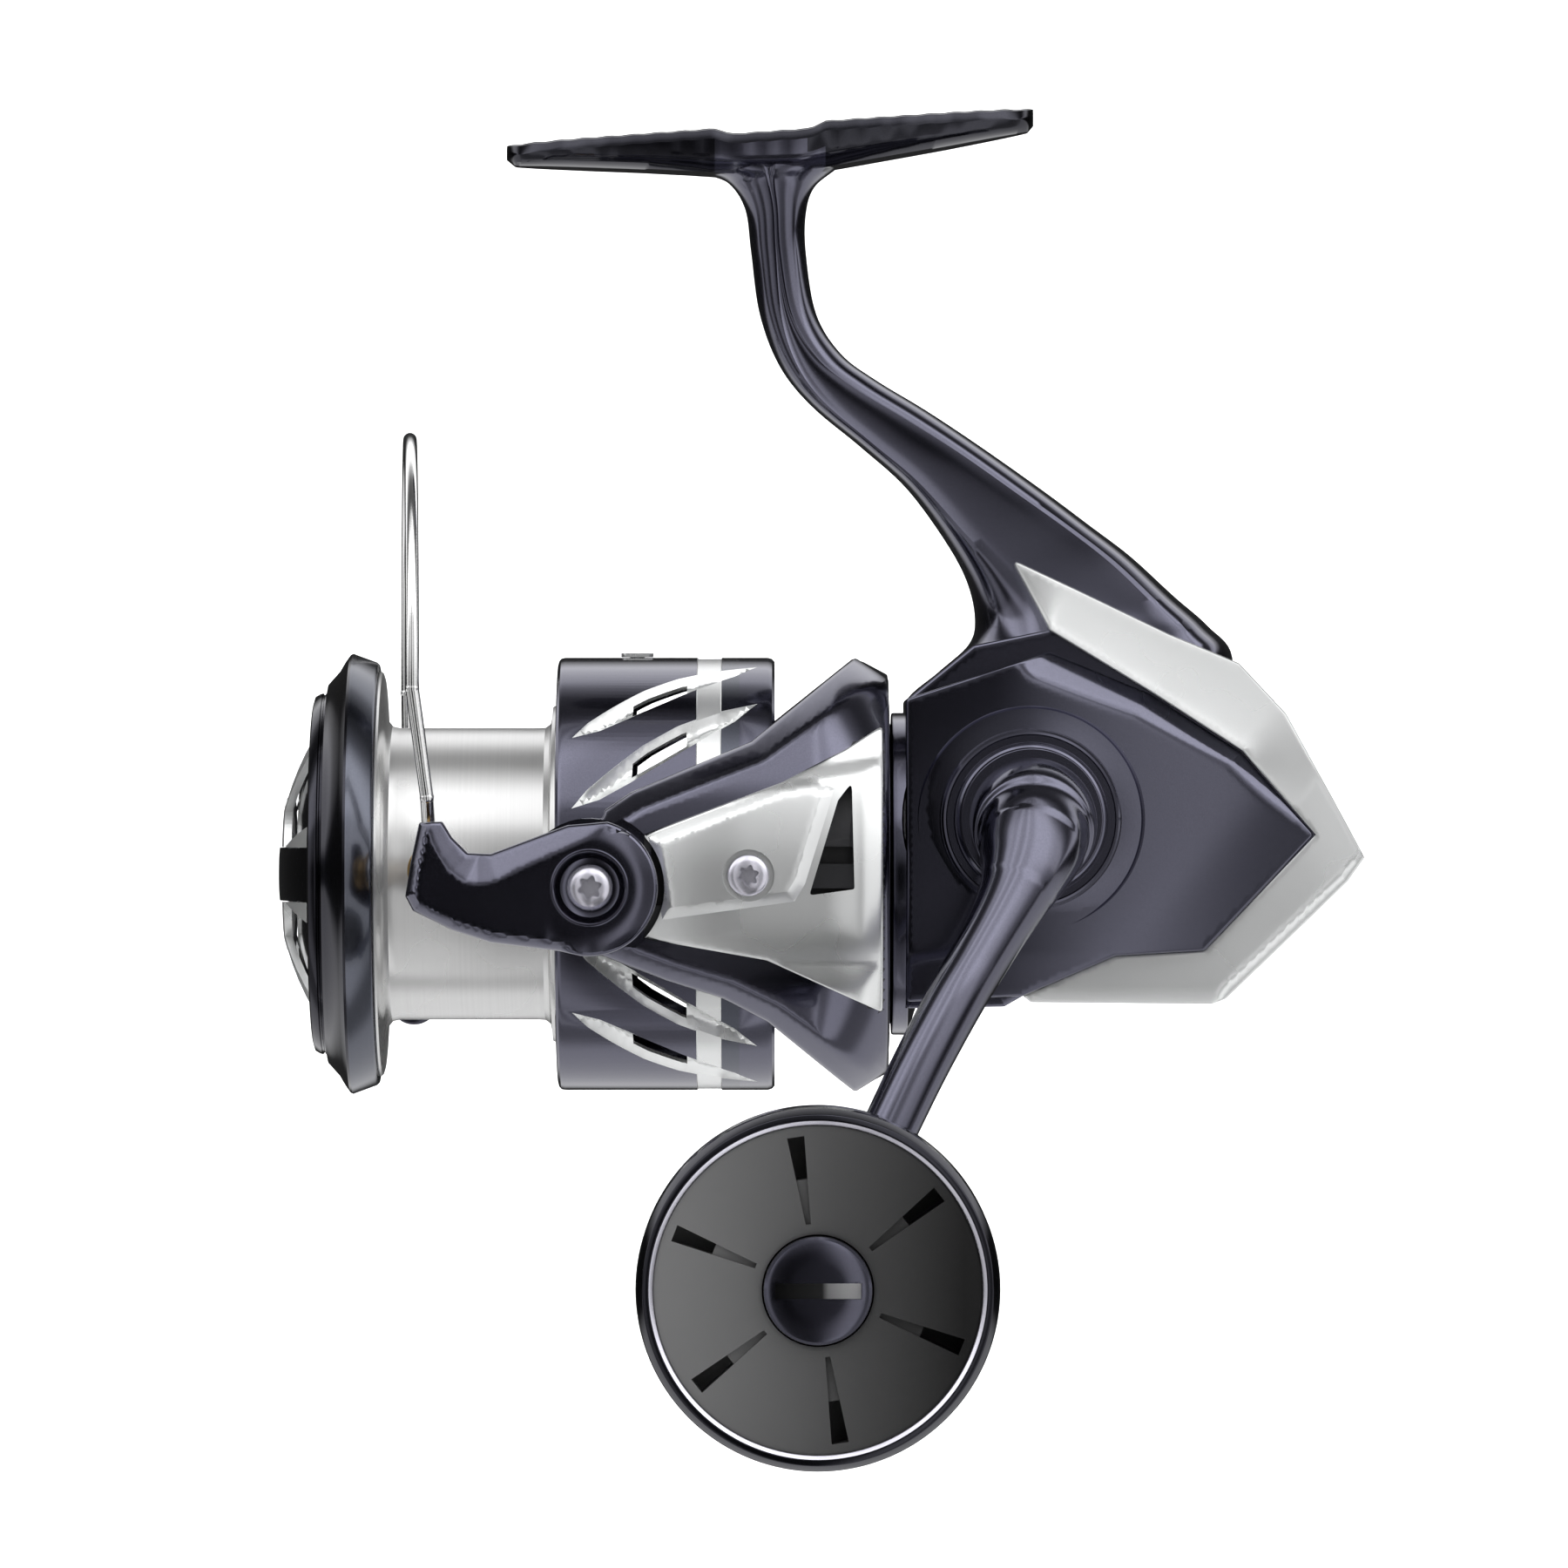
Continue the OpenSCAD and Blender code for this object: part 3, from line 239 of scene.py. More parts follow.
def finish_mesh(name, node, bm, materials, sharp):
    """Turns a bmesh into the piece that stands for a CAD node, on the node's body and with the given materials.
    Edges that turn more than sharp degrees stay crisp."""
    bmesh.ops.remove_doubles(bm, verts=bm.verts, dist=MERGE)
    bmesh.ops.dissolve_degenerate(bm, edges=bm.edges, dist=THIN)
    bmesh.ops.recalc_face_normals(bm, faces=bm.faces)
    bmesh.ops.scale(bm, vec=(MM, MM, MM), verts=bm.verts)
    me = bpy.data.meshes.new(name)
    bm.to_mesh(me)
    bm.free()
    for m in materials:
        me.materials.append(m)
    ob = link(name, me)
    smooth_by_angle(ob, sharp)
    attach(ob, BODY_OF[node])
    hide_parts(node)


def paint(bm, index, where=lambda middle: True):
    """Gives a material index to the faces whose middle passes the test."""
    for f in bm.faces:
        if where(f.calc_center_median()):
            f.material_index = index


def smooth_by_angle(ob, degrees):
    limit = math.radians(degrees)
    me = ob.data
    me.polygons.foreach_set("use_smooth", [True] * len(me.polygons))
    bm = bmesh.new()
    bm.from_mesh(me)
    for e in bm.edges:
        e.smooth = len(e.link_faces) == 2 and e.calc_face_angle(0) < limit
    bm.to_mesh(me)
    bm.free()


def add_bevel(ob, width):
    """A small round on a CAD node's edges; its mesh stays as it is."""
    weld = ob.modifiers.new("weld", "WELD")
    weld.merge_threshold = 0.004 * MM
    m = ob.modifiers.new("edge", "BEVEL")
    m.width = width * MM
    m.segments = 2
    m.limit_method = "ANGLE"
    m.angle_limit = math.radians(30)
    m.harden_normals = False
    m.use_clamp_overlap = True


def arc(cx, cy, r, a0, a1, n):
    """n + 1 points on an arc between two angles in degrees."""
    return [(cx + r * math.cos(math.radians(a0 + (a1 - a0) * i / n)),
             cy + r * math.sin(math.radians(a0 + (a1 - a0) * i / n))) for i in range(n + 1)]


def area(p):
    return 0.5 * sum(p[i - 1][0] * p[i][1] - p[i][0] * p[i - 1][1] for i in range(len(p)))


def dense(p, step, closed=True):
    """The outline p with points at most step apart."""
    out = []
    n = len(p)
    for i in range(n if closed else n - 1):
        a, b = Vector(p[i]), Vector(p[(i + 1) % n])
        k = max(1, math.ceil((b - a).length / step))
        out += [tuple(a.lerp(b, j / k)) for j in range(k)]
    return out if closed else out + [tuple(p[-1])]


def rounded(p, r, n=5):
    """The outline p with its corners rounded by up to r."""
    out = []
    k = len(p)
    for i in range(k):
        a, b, c = Vector(p[i - 1]), Vector(p[i]), Vector(p[(i + 1) % k])
        u, v = a - b, c - b
        lu, lv = u.length, v.length
        turn = math.pi - u.angle(v)
        if turn < 0.05:
            out.append(tuple(b))
            continue
        reach = min(r * math.tan(turn / 2), 0.45 * lu, 0.45 * lv)
        s, e = b + u / lu * reach, b + v / lv * reach
        for t in (j / n for j in range(n + 1)):
            out.append(tuple((1 - t) ** 2 * s + 2 * t * (1 - t) * b + t * t * e))
    return out


def inset(p, d):
    """The closed outline p moved inwards by d along its corner normals."""
    sign = 1 if area(p) > 0 else -1
    n = len(p)
    out = []
    for i in range(n):
        a, b, c = Vector(p[i - 1]), Vector(p[i]), Vector(p[(i + 1) % n])
        u, v = (b - a).normalized(), (c - b).normalized()
        nu, nv = Vector((-u.y, u.x)), Vector((-v.y, v.x))
        m = nu + nv
        m = m / max(0.4, m.length_squared / 2) if m.length > 1e-6 else nu
        out.append(tuple(b + sign * d * m))
    return out


def inside(p, x, y):
    """Whether a point is inside the closed outline p."""
    hit = False
    j = len(p) - 1
    for i in range(len(p)):
        if (p[i][1] > y) != (p[j][1] > y):
            if x < (p[j][0] - p[i][0]) * (y - p[i][1]) / (p[j][1] - p[i][1]) + p[i][0]:
                hit = not hit
        j = i
    return hit


def distance(p, x, y, closed=True):
    """The distance from a point to the line through p."""
    best = 1e9
    n = len(p)
    for i in range(n if closed else n - 1):
        ax, ay = p[i]
        bx, by = p[(i + 1) % n]
        dx, dy = bx - ax, by - ay
        t = max(0.0, min(1.0, ((x - ax) * dx + (y - ay) * dy) / (dx * dx + dy * dy + 1e-12)))
        best = min(best, math.hypot(x - ax - t * dx, y - ay - t * dy))
    return best


def smooth_min(values, width):
    """A minimum whose corners are rounded over about width."""
    low = min(values)
    return low - width * math.log(sum(math.exp(-(v - low) / width) for v in values))


ROW = 0.866  # how far apart rows of points are, in steps


def fill(outer, step, creases=()):
    """Triangles about step wide over an outline: (points, triangles, the outline's indices). Their edges
    follow the creases, which are open lines."""
    pts = [Vector(q) for q in outer]
    edges = [(i, (i + 1) % len(outer)) for i in range(len(outer))]
    for line in creases:
        base = len(pts)
        pts += [Vector(q) for q in line]
        edges += [(base + i, base + i + 1) for i in range(len(line) - 1)]
    xs = [q[0] for q in outer]
    ys = [q[1] for q in outer]
    rows = int((max(ys) - min(ys)) / (step * ROW)) + 1
    cols = int((max(xs) - min(xs)) / step) + 2
    for r in range(rows):
        for c in range(cols):
            x = min(xs) + (c + 0.5 * (r % 2)) * step
            y = min(ys) + (r + 0.5) * step * ROW
            if not inside(outer, x, y) or distance(outer, x, y) < 0.45 * step:
                continue
            if any(distance(line, x, y, False) < 0.4 * step for line in creases):
                continue
            pts.append(Vector((x, y)))
    out, _, faces, origin, _, _ = delaunay_2d_cdt(pts, edges, [], 0, 1e-5)
    where = {s: i for i, sources in enumerate(origin) for s in sources}
    keep = []
    for f in faces:
        if inside(outer, sum(out[i].x for i in f) / len(f), sum(out[i].y for i in f) / len(f)):
            keep.append(tuple(f))
    return out, keep, [where[i] for i in range(len(outer))]


def band(bm, a, b):
    """Quads between two closed loops of as many vertices."""
    n = len(a)
    for i in range(n):
        quad = [a[i], a[(i + 1) % n], b[(i + 1) % n], b[i]]
        if len(set(quad)) == 4:
            bm.faces.new(quad)


def lay(bm, sheet, rim, point, flip=False):
    """Adds what fill() made to bm, joined to the vertices round its rim."""
    pts, faces, ring = sheet
    made = dict(zip(ring, rim))
    for i, p in enumerate(pts):
        if i not in made:
            made[i] = bm.verts.new(point(p.x, p.y))
    for f in faces:
        corners = [made[i] for i in (reversed(f) if flip else f)]
        if len(set(corners)) < 3:
            continue
        try:
            bm.faces.new(corners)
        except ValueError:  # two outline points that fell together have made this face already
            continue


def relief(outline, front, back, place, edge, step, steps=4, creases=()):
    """A plate whose front is rounded by edge all round. front and back give the depth at a point of the
    side view, and place turns (x, z, depth) into a point in space."""
    bm = bmesh.new()
    sign = 1 if front(*outline[0]) > back(*outline[0]) else -1
    loops = []
    for k in range(steps + 1):
        a = math.pi / 2 * k / steps
        ring = inset(outline, edge * (1 - math.cos(a)))
        low = edge * (1 - math.sin(a))
        loops.append([bm.verts.new(place(x, z, front(x, z) - sign * low)) for x, z in ring])
    base = [bm.verts.new(place(x, z, back(x, z))) for x, z in outline]
    band(bm, base, loops[0])
    for a, b in zip(loops, loops[1:]):
        band(bm, a, b)
    lay(bm, fill(inset(outline, edge), step, creases), loops[-1], lambda x, z: place(x, z, front(x, z)))
    lay(bm, fill(outline, 6 * step), base, lambda x, z: place(x, z, back(x, z)), flip=True)
    return bm


def turned(profile, place, segments=96):
    """A body of revolution from (radius, height) points, open in the middle if the profile is a loop."""
    bm = bmesh.new()
    rings = []
    for r, h in profile:
        if r < 1e-6:
            rings.append([bm.verts.new(place(0, 0, h))])
            continue
        angles = [2 * math.pi * i / segments for i in range(segments)]
        rings.append([bm.verts.new(place(r * math.cos(a), r * math.sin(a), h)) for a in angles])
    for a, b in zip(rings, rings[1:]):
        for i in range(segments):
            quad = [a[i % len(a)], a[(i + 1) % len(a)], b[(i + 1) % len(b)], b[i % len(b)]]
            corners = list(dict.fromkeys(quad))
            if len(corners) > 2:
                bm.faces.new(corners)
    return bm


def loft(sections):
    """A solid through closed sections of as many points each."""
    bm = bmesh.new()
    rings = [[bm.verts.new(p) for p in s] for s in sections]
    for a, b in zip(rings, rings[1:]):
        band(bm, a, b)
    bm.faces.new(list(reversed(rings[0])))
    bm.faces.new(rings[-1])
    return bm


def curve(points, n):
    """n + 1 points along a Catmull-Rom curve through points, which may have any number of values each."""
    out = []
    m = len(points) - 1
    for i in range(n + 1):
        t = i / n * m
        k = min(int(t), m - 1)
        u = t - k
        p = [points[max(0, min(m, k + j))] for j in (-1, 0, 1, 2)]
        out.append(tuple(
            0.5 * (2 * b + (c - a) * u + (2 * a - 5 * b + 4 * c - d) * u * u + (3 * b - a - 3 * c + d) * u ** 3)
            for a, b, c, d in zip(*p)))
    return out


def carve(base, tools, operation):
    """base joined with, less or shared with each tool. All are bmeshes, and all are used up."""
    objects = []
    for bm in [base, *tools]:
        bmesh.ops.remove_doubles(bm, verts=bm.verts, dist=0.0005)
        bmesh.ops.recalc_face_normals(bm, faces=bm.faces)
        me = bpy.data.meshes.new("work")
        bm.to_mesh(me)
        bm.free()
        for _ in range(3):  # empty slots, so that faces keep their material index
            me.materials.append(None)
        objects.append(link("work", me))
    for tool in objects[1:]:
        m = objects[0].modifiers.new("carve", "BOOLEAN")
        m.operation = operation
        m.solver = "EXACT"
        m.object = tool
    graph = bpy.context.evaluated_depsgraph_get()
    me = bpy.data.meshes.new_from_object(objects[0].evaluated_get(graph))
    out = bmesh.new()
    out.from_mesh(me)
    for ob in objects:
        old = ob.data
        bpy.data.objects.remove(ob)
        bpy.data.meshes.remove(old)
    bpy.data.meshes.remove(me)
    return out


def join(base, *others):
    return carve(base, others, "UNION")


def less(base, *others):
    return carve(base, others, "DIFFERENCE")


def prism(outline, y0, y1):
    """An outline of the side view, drawn out along Y."""
    return loft([[(x, y, z) for x, z in outline] for y in (y0, y1)])


def prism_x(outline, x0, x1):
    """An outline of the front view, drawn out along X."""
    return loft([[(x, y, z) for y, z in outline] for x in (x0, x1)])


def block(x0, x1, y, z):
    """A block across the main shaft's axis, from -y to y and -z to z."""
    return prism_x([(-y, -z), (y, -z), (y, z), (-y, z)], x0, x1)


def about_x(a, b, h):
    """Turned work on the main shaft's axis: height along X."""
    return (h, a, b)


def about_y(x, z):
    """Turned work on an axis along Y through (x, z)."""
    return lambda a, b, h: (x + a, h, z + b)


def rod(r, h0, h1, place, segments=64):
    return turned([(0, h0), (r, h0), (r, h1), (0, h1)], place, segments)


def loop(profile, r, n=3):
    """A lathe profile with rounded corners that ends where it starts."""
    out = rounded(profile, r, n)
    return out + [out[0]]


def on_side(side):
    """Places a side view's (x, z, depth) on the handle's side, -1, or the far side, 1."""
    return lambda x, z, depth: (x, side * depth, z)


AT_DRIVE = about_y(DRIVE.x, DRIVE.z)
AT_PIVOT = about_y(PIVOT.x, PIVOT.z)
AT_ROLLER = about_y(ROLLER.x, ROLLER.z)
AT_KNOB = about_y(KNOB.x, KNOB.z)


# ---- gear case, side cover, stem and foot ----------------------------------

CASE = [
    (-14.5, -15.6), (-14.5, 20.4), (-6.6, 26.8), (4, 29), (13, 26.2), (22.6, 23), (28.3, 17.6), (34, 7.6),
    (37.2, 2), (35.9, 0.4), (32, -3.5), (21.8, -12.9), (20.6, -13.4), (0.5, -13.4), (-3, -15.4)]
CAVITY = [
    (-12.8, -13.4), (-12.8, 19.4), (-6, 24.8), (4, 26.6), (12.4, 24.4), (21.6, 21), (26.8, 16.6), (32.2, 7),
    (34.6, 2.2), (20.9, -11.9), (1, -12.1), (-3.4, -13.4)]
COVER = [
    (-14.5, -14.8), (-14.5, 20.5), (2.3, 26.0), (13.9, 21.2), (24.6, 14.4), (33.2, 4.7), (20.3, -8.8),
    (9.9, -9.4), (-0.9, -14.1)]
COVER_TOP = COVER[2:6]
REAR_FACET = ((17.4, -0.3), (27.6, 10.2))  # lines that two facets of the cover fall away from
FRONT_FACET = ((-14.4, 12.6), (-2, 26))
BEARING_R, SOCKET_R = 7, 5.4  # bores round the handle's shaft


def side_of(a, b, x, z):
    """How far (x, z) lies to the left of the line from a to b."""
    return ((b[0] - a[0]) * (z - a[1]) - (b[1] - a[1]) * (x - a[0])) / math.dist(a, b)


def cover_face(x, z):
    """How far the raised face stands from the middle plane: it falls backwards, with facets along its edges."""
    plane = 16.4 - 0.0016 * max(x + 4, 0) ** 2 - 0.012 * z
    return smooth_min([
        plane,
        plane + 0.07 * side_of(*REAR_FACET, x, z),
        13.6 + 0.7 * distance(COVER_TOP, x, z, False),
        plane - 0.04 * side_of(*FRONT_FACET, x, z),
        plane + 0.3 * (z + 9.3),
    ], 0.1)


def case_plate(outline, face, back, side, edge):
    """One side plate of the case. side is -1 on the handle side and 1 on the far side."""
    line = dense(rounded(outline, 0.6), 1.2)
    return relief(line, face, lambda x, z: back, on_side(side), edge, 0.6)


RING_BOSS = [
    (0, 12), (13.35, 12), (13.35, 15.9), (13.1, 16.35), (12.9, 16.2), (12.0, 16.28), (10.6, 16.45),
    (10.5, 16.6), (10.4, 18.9), (10.15, 19.15), (9.9, 19.2), (9.75, 19.0), (9.0, 19.0), (8.85, 19.2),
    (8.75, 19.7), (8.6, 20.1), (8.35, 20.25), (7.4, 20.25), (7.1, 19.9), (0, 19.9)]


def side_cover():
    boss = turned([(r, -h) for r, h in RING_BOSS], AT_DRIVE, 144)
    shell = join(case_plate(CASE, lambda x, z: 13.4, 8.02, -1, 0.5),
                 case_plate(COVER, cover_face, 11, -1, 0.3), boss)
    shell = less(shell, prism(CAVITY, -11.8, -4), rod(BEARING_R, -17.6, -10, AT_DRIVE),
                 rod(SOCKET_R, -22, -17, AT_DRIVE))
    finish_mesh("side_cover_shell", "side_cover", shell, [COAT], 22)


STEM = [  # front edge x, z; rear edge x, z; half width; the panel's front and rear creases; its depth
    (-13.6, 17.0, 23.0, 17.0, 9.0, 0.30, 0.88, 0.2),
    (-14.3, 20.4, 24.2, 25.4, 12.4, 0.32, 0.88, 0.3),
    (-10.4, 23.9, 21.3, 29.2, 12.0, 0.33, 0.88, 0.4),
    (-6.9, 27.1, 17.2, 32.8, 10.8, 0.34, 0.87, 0.5),
    (-6.2, 30.2, 12.2, 37.4, 9.4, 0.30, 0.86, 0.5),
    (-7.2, 34.6, 7.2, 41.2, 8.4, 0.23, 0.84, 0.5),
    (-9.8, 39.4, 2.0, 45.1, 7.4, 0.17, 0.80, 0.5),
    (-14.3, 45.5, -5.2, 50.2, 6.3, 0.14, 0.75, 0.5),
    (-19.5, 50.2, -11.8, 54.6, 5.6, 0.13, 0.70, 0.5),
    (-25.6, 55.3, -17.9, 58.3, 4.9, 0.17, 0.65, 0.5),
    (-29.3, 60.0, -22.0, 61.4, 4.5, 0.26, 0.60, 0.5),
    (-31.6, 66.1, -24.9, 66.1, 4.2, 0.36, 0.56, 0.55),
    (-32.6, 73.3, -26.1, 73.2, 4.1, 0.42, 0.54, 0.6),
    (-33.3, 78.4, -26.1, 77.9, 4.5, 0.44, 0.54, 0.6),
    (-35.3, 81.5, -25.1, 81.0, 5.3, 0.45, 0.54, 0.6),
    (-38.4, 82.8, -22.4, 83.3, 6.4, 0.45, 0.54, 0.5),
    (-39.2, 84.6, -21.2, 85.2, 6.9, 0.45, 0.54, 0.3),
]


SINK = 0.6  # how deep the panel is for a depth of 1 in STEM, in millimetres


def stem_section(xf, zf, xr, zr, half, front, rear, sink):
    """A section through the stem: round front and rear flanks with a hollow panel between two creases."""
    side = []
    for i in range(9):
        a = math.pi / 2 * i / 8
        side.append((front * (1 - math.cos(a)), half * math.sin(a) ** 0.9))
    for i in range(1, 8):
        t = i / 8
        side.append((front + (rear - front) * t, half - SINK * sink * math.sin(math.pi * t) ** 0.6))
    for i in range(8, -1, -1):
        a = math.pi / 2 * i / 8
        side.append((1 - (1 - rear) * (1 - math.cos(a)), half * math.sin(a) ** 0.9))
    around = [(u, -w) for u, w in side] + [(u, w) for u, w in reversed(side[1:-1])]
    return [(xf + (xr - xf) * u, w, zf + (zr - zf) * u) for u, w in around]


FOOT_FRONT, FOOT_BACK, FOOT_HALF = -61.4, 0.7, 8.0
FOOT_MIDDLE = (FOOT_FRONT + FOOT_BACK) / 2
FOOT_BOTTOM = [
    (-61.4, 84.2), (-60.4, 83.4), (-46, 82.9), (-40, 82.6), (-34, 82.2), (-27, 82.4), (-22.4, 83.3),
    (-10, 85.5), (0, 87.4), (0.7, 88.2)]
FOOT_TOP, FOOT_TILT = 90.15, 4  # height above the main shaft at x = 0, and degrees
FOOT_RIB = 2.9  # from rib to rib along the top
FOOT_HOLLOW = (-36.6, -24.0)  # the top is lower between these
HOLLOW_END = 1.6  # the length of the slope at each end
FOOT_STEPS = 130
STEM_TOP, STEM_HALF = 82, 6.5  # above this height and further than this from the middle, the foot is painted near-black as painted shade
FOOT_SHADE_LINE = 85.5  # and above this height it is painted near-black all over, as painted shade


def between(table, x):
    """A value read off a table of (x, value) points."""
    for (x0, v0), (x1, v1) in zip(table, table[1:]):
        if x <= x1:
            return v0 + (v1 - v0) * (x - x0) / (x1 - x0)
    return table[-1][1]


def foot_section(x):
    """A section through the foot: a ribbed flat top, rounded edges and a belly."""
    reach = (FOOT_BACK - FOOT_FRONT) / 2 + 0.05
    half = FOOT_HALF * (1 - abs((x - FOOT_MIDDLE) / reach) ** 4.5) ** 0.45
    top = FOOT_TOP + x * math.tan(math.radians(FOOT_TILT))
    top -= 0.1 * (1 - math.cos(2 * math.pi * x / FOOT_RIB)) / 2
    top -= 0.75 * max(0.0, min(1.0, (x - FOOT_HOLLOW[0]) / HOLLOW_END, (FOOT_HOLLOW[1] - x) / HOLLOW_END))
    low = between(FOOT_BOTTOM, x)
    edge = top - min(1.1, 0.45 * (top - low))
    right = [
        (0, top), (0.5 * half, top), (half - 0.9, top), (half - 0.35, top - 0.2), (half - 0.05, edge + 0.15),
        (half, edge - 0.15), (0.93 * half, low + 0.55 * (edge - low)),
        (0.84 * half, low + 0.3 * (edge - low)), (0.62 * half, low + 0.06), (0.3 * half, low), (0, low)]
    right = [(max(y, 0), z) for y, z in right]
    return [(x, y, z) for y, z in right] + [(x, -y, z) for y, z in reversed(right[1:-1])]


def foot_x(share):
    """A place along the foot, closer together near the ends."""
    return FOOT_FRONT + (FOOT_BACK - FOOT_FRONT) * (0.5 - 0.5 * math.cos(math.pi * share)) ** 0.9


def body_shell():
    """The case's far side, the stem, the foot and the neck that the rotor turns round, in one casting."""
    stem = loft([stem_section(*row) for row in curve(STEM, 112)])
    foot = loft([foot_section(foot_x(i / FOOT_STEPS)) for i in range(FOOT_STEPS + 1)])
    boss = turned([(r, h - 3.3) for r, h in RING_BOSS[:-1]] + [(7.1, 13.7), (0, 13.7)], AT_DRIVE, 144)
    wall = join(case_plate(CASE, lambda x, z: 13.0, -8, 1, 0.4),
                case_plate(COVER, lambda x, z: cover_face(x, z) - 1.9, 10, 1, 0.3), boss)
    neck = [(12, -18.3), (17.6, -18.3), (17.6, -16.1), (19, -16.1), (19, -14.2), (12, -12)]
    shell = join(wall, stem, foot, turned(loop(neck, 0.3), about_x))
    shell = less(shell, prism(CASE, -20, -8.01), prism(CAVITY, -9, 11.4),
                 rod(15.8, -19, -14.9, about_x), rod(4.5, -16, -12, about_x), rod(15, -20, -3, AT_DRIVE),
                 rod(5.3, 8, 18, AT_DRIVE))
    # painted shade: the foot's faces get the near-black coat, standing in for the shade they lie in
    paint(shell, 1, lambda c: c.z > STEM_TOP and abs(c.x - FOOT_MIDDLE) > STEM_HALF or c.z > FOOT_SHADE_LINE)
    finish_mesh("body_casting", "body_frame", shell, [COAT, COAT_BLACK_AND_SHADE], 24)


# ---- rear guard --------------------------------------------------------------

GUARD_BACK = [
    (24.4, 24.7), (29.9, 18.8), (35.6, 8.5), (39.1, 2.0), (37.1, -0.8), (33, -4.8), (22.9, -14.5),
    (21.2, -15.1), (0.1, -14.9)]
GUARD_INNER = [(-0.9, -14.1), (9.9, -9.4), (20.3, -8.8), (33.2, 4.7), (24.7, 14.5), (14.1, 21.3), (2.3, 28.5)]
BLADE_TOP = [(-2.1, 36.8), (6, 33), (16.2, 28.1)]
BLADE_BREAK = ((19.4, 21.2), (16.2, 29.3))


def guard_face(x, z):
    """The guard's side: a blade with a soft break, and a flange with an inner and an outer facet."""
    reach = min(distance(GUARD_INNER[4:], x, z, False), 9)
    blade = 15.6 - 0.1 * reach - 0.9 * (1 - math.exp(-reach / 3))
    climb = max(0.0, min(1.0, (z - 4.7) / 9.8))
    return smooth_min([
        blade,
        blade + 0.3 + 0.05 * side_of(*BLADE_BREAK, x, z),
        13.9 + 1.6 * climb + 0.42 * distance(GUARD_INNER[:5], x, z, False),
        12.9 + 0.8 * distance(GUARD_BACK[3:7], x, z, False),
        13.1 + 0.45 * (z + 15.0),
    ], 0.08)


def rear_guard():
    line = dense(rounded(BLADE_TOP + GUARD_BACK + GUARD_INNER, 0.35, 3), 1.0)
    sides = [relief(line, guard_face, lambda x, z: 8.12, on_side(side), 0.28, 0.5, 3) for side in (-1, 1)]
    wrap = prism(rounded(GUARD_BACK + [(-0.4, -13.5), (22, 10), (22.8, 23.2)], 0.3), -9.2, 9.2)
    guard = less(join(wrap, *sides), prism(CASE, -13.42, 13.03))
    guard = less(guard, prism(inset(COVER, -0.12), -17, -13), prism(inset(COVER, -0.12), 13, 17))
    finish_mesh("rear_guard_shell", "rear_guard", guard, [SATIN], 20)


# ---- rotor -------------------------------------------------------------------

ARM_UPPER = [(-20.4, 25.4), (-32.5, 15.5), (-46.3, 9.7), (-49.4, 7.6)]
ARM_LOWER = [(-48.7, -9.6), (-42.3, -12.1), (-35.7, -14.2), (-30.6, -16.9), (-20.4, -25.4)]
PANEL = [
    (-44.8, 4.8), (-29.0, 10.8), (-21.6, 14.6), (-17.3, 17.4), (-17.3, -15.8), (-30.7, -9.7), (-44.8, -7.2)]
WINDOW = [(-20.9, 10.8), (-22.5, 8.7), (-25.8, -2.2), (-20.6, -1.5)]
RAISED = [
    (-44.3, 4.5), (-29.3, 10.5), (-25.4, 11.2), (-22.9, 10.0), (-26.3, -0.9), (-27.5, -2.9), (-42.7, -5.0)]
ARM_OUT, ARM_IN, SEAT, PANEL_OUT = 31.2, 26.4, 30.2, 32.2  # radii of the drums they lie on
ARM_FALL = (-25.5, -16.3)  # where the arms' outer face falls away to the rear
RISE = 0.6  # slope of the raised cover's flanks
COVER_SCREW = (-32.8, 0.1)
KICK_HALF = 3.4  # half the width of the kick lever's slot
ARM_BORE = [(-60, ARM_IN), (-24.7, ARM_IN), (-24.3, 22.1), (-20.5, 20), (0, 20)]


def drum(radius, z):
    """How far a drum of that radius stands from the middle plane at height z."""
    return math.sqrt(max(0.0, radius * radius - z * z))


def eased(x, x0, x1):
    """0 before x0, rising ever faster to 1 at x1."""
    return max(0.0, min(1.0, (x - x0) / (x1 - x0))) ** 2


def arm_face(x, z):
    """The rotor arms' outer face: a drum with a bevel along its upper and its lower edge."""
    radius = ARM_OUT - 4.5 * eased(x, *ARM_FALL)
    full = drum(radius, z)
    ridge = drum(radius - 2.4, z) + 1.0 * min(distance(ARM_UPPER, x, z, False), 4)
    keel = drum(radius - 1.8, z) + 0.9 * min(distance(ARM_LOWER, x, z, False), 4)
    return smooth_min([full, ridge, keel], 0.12)


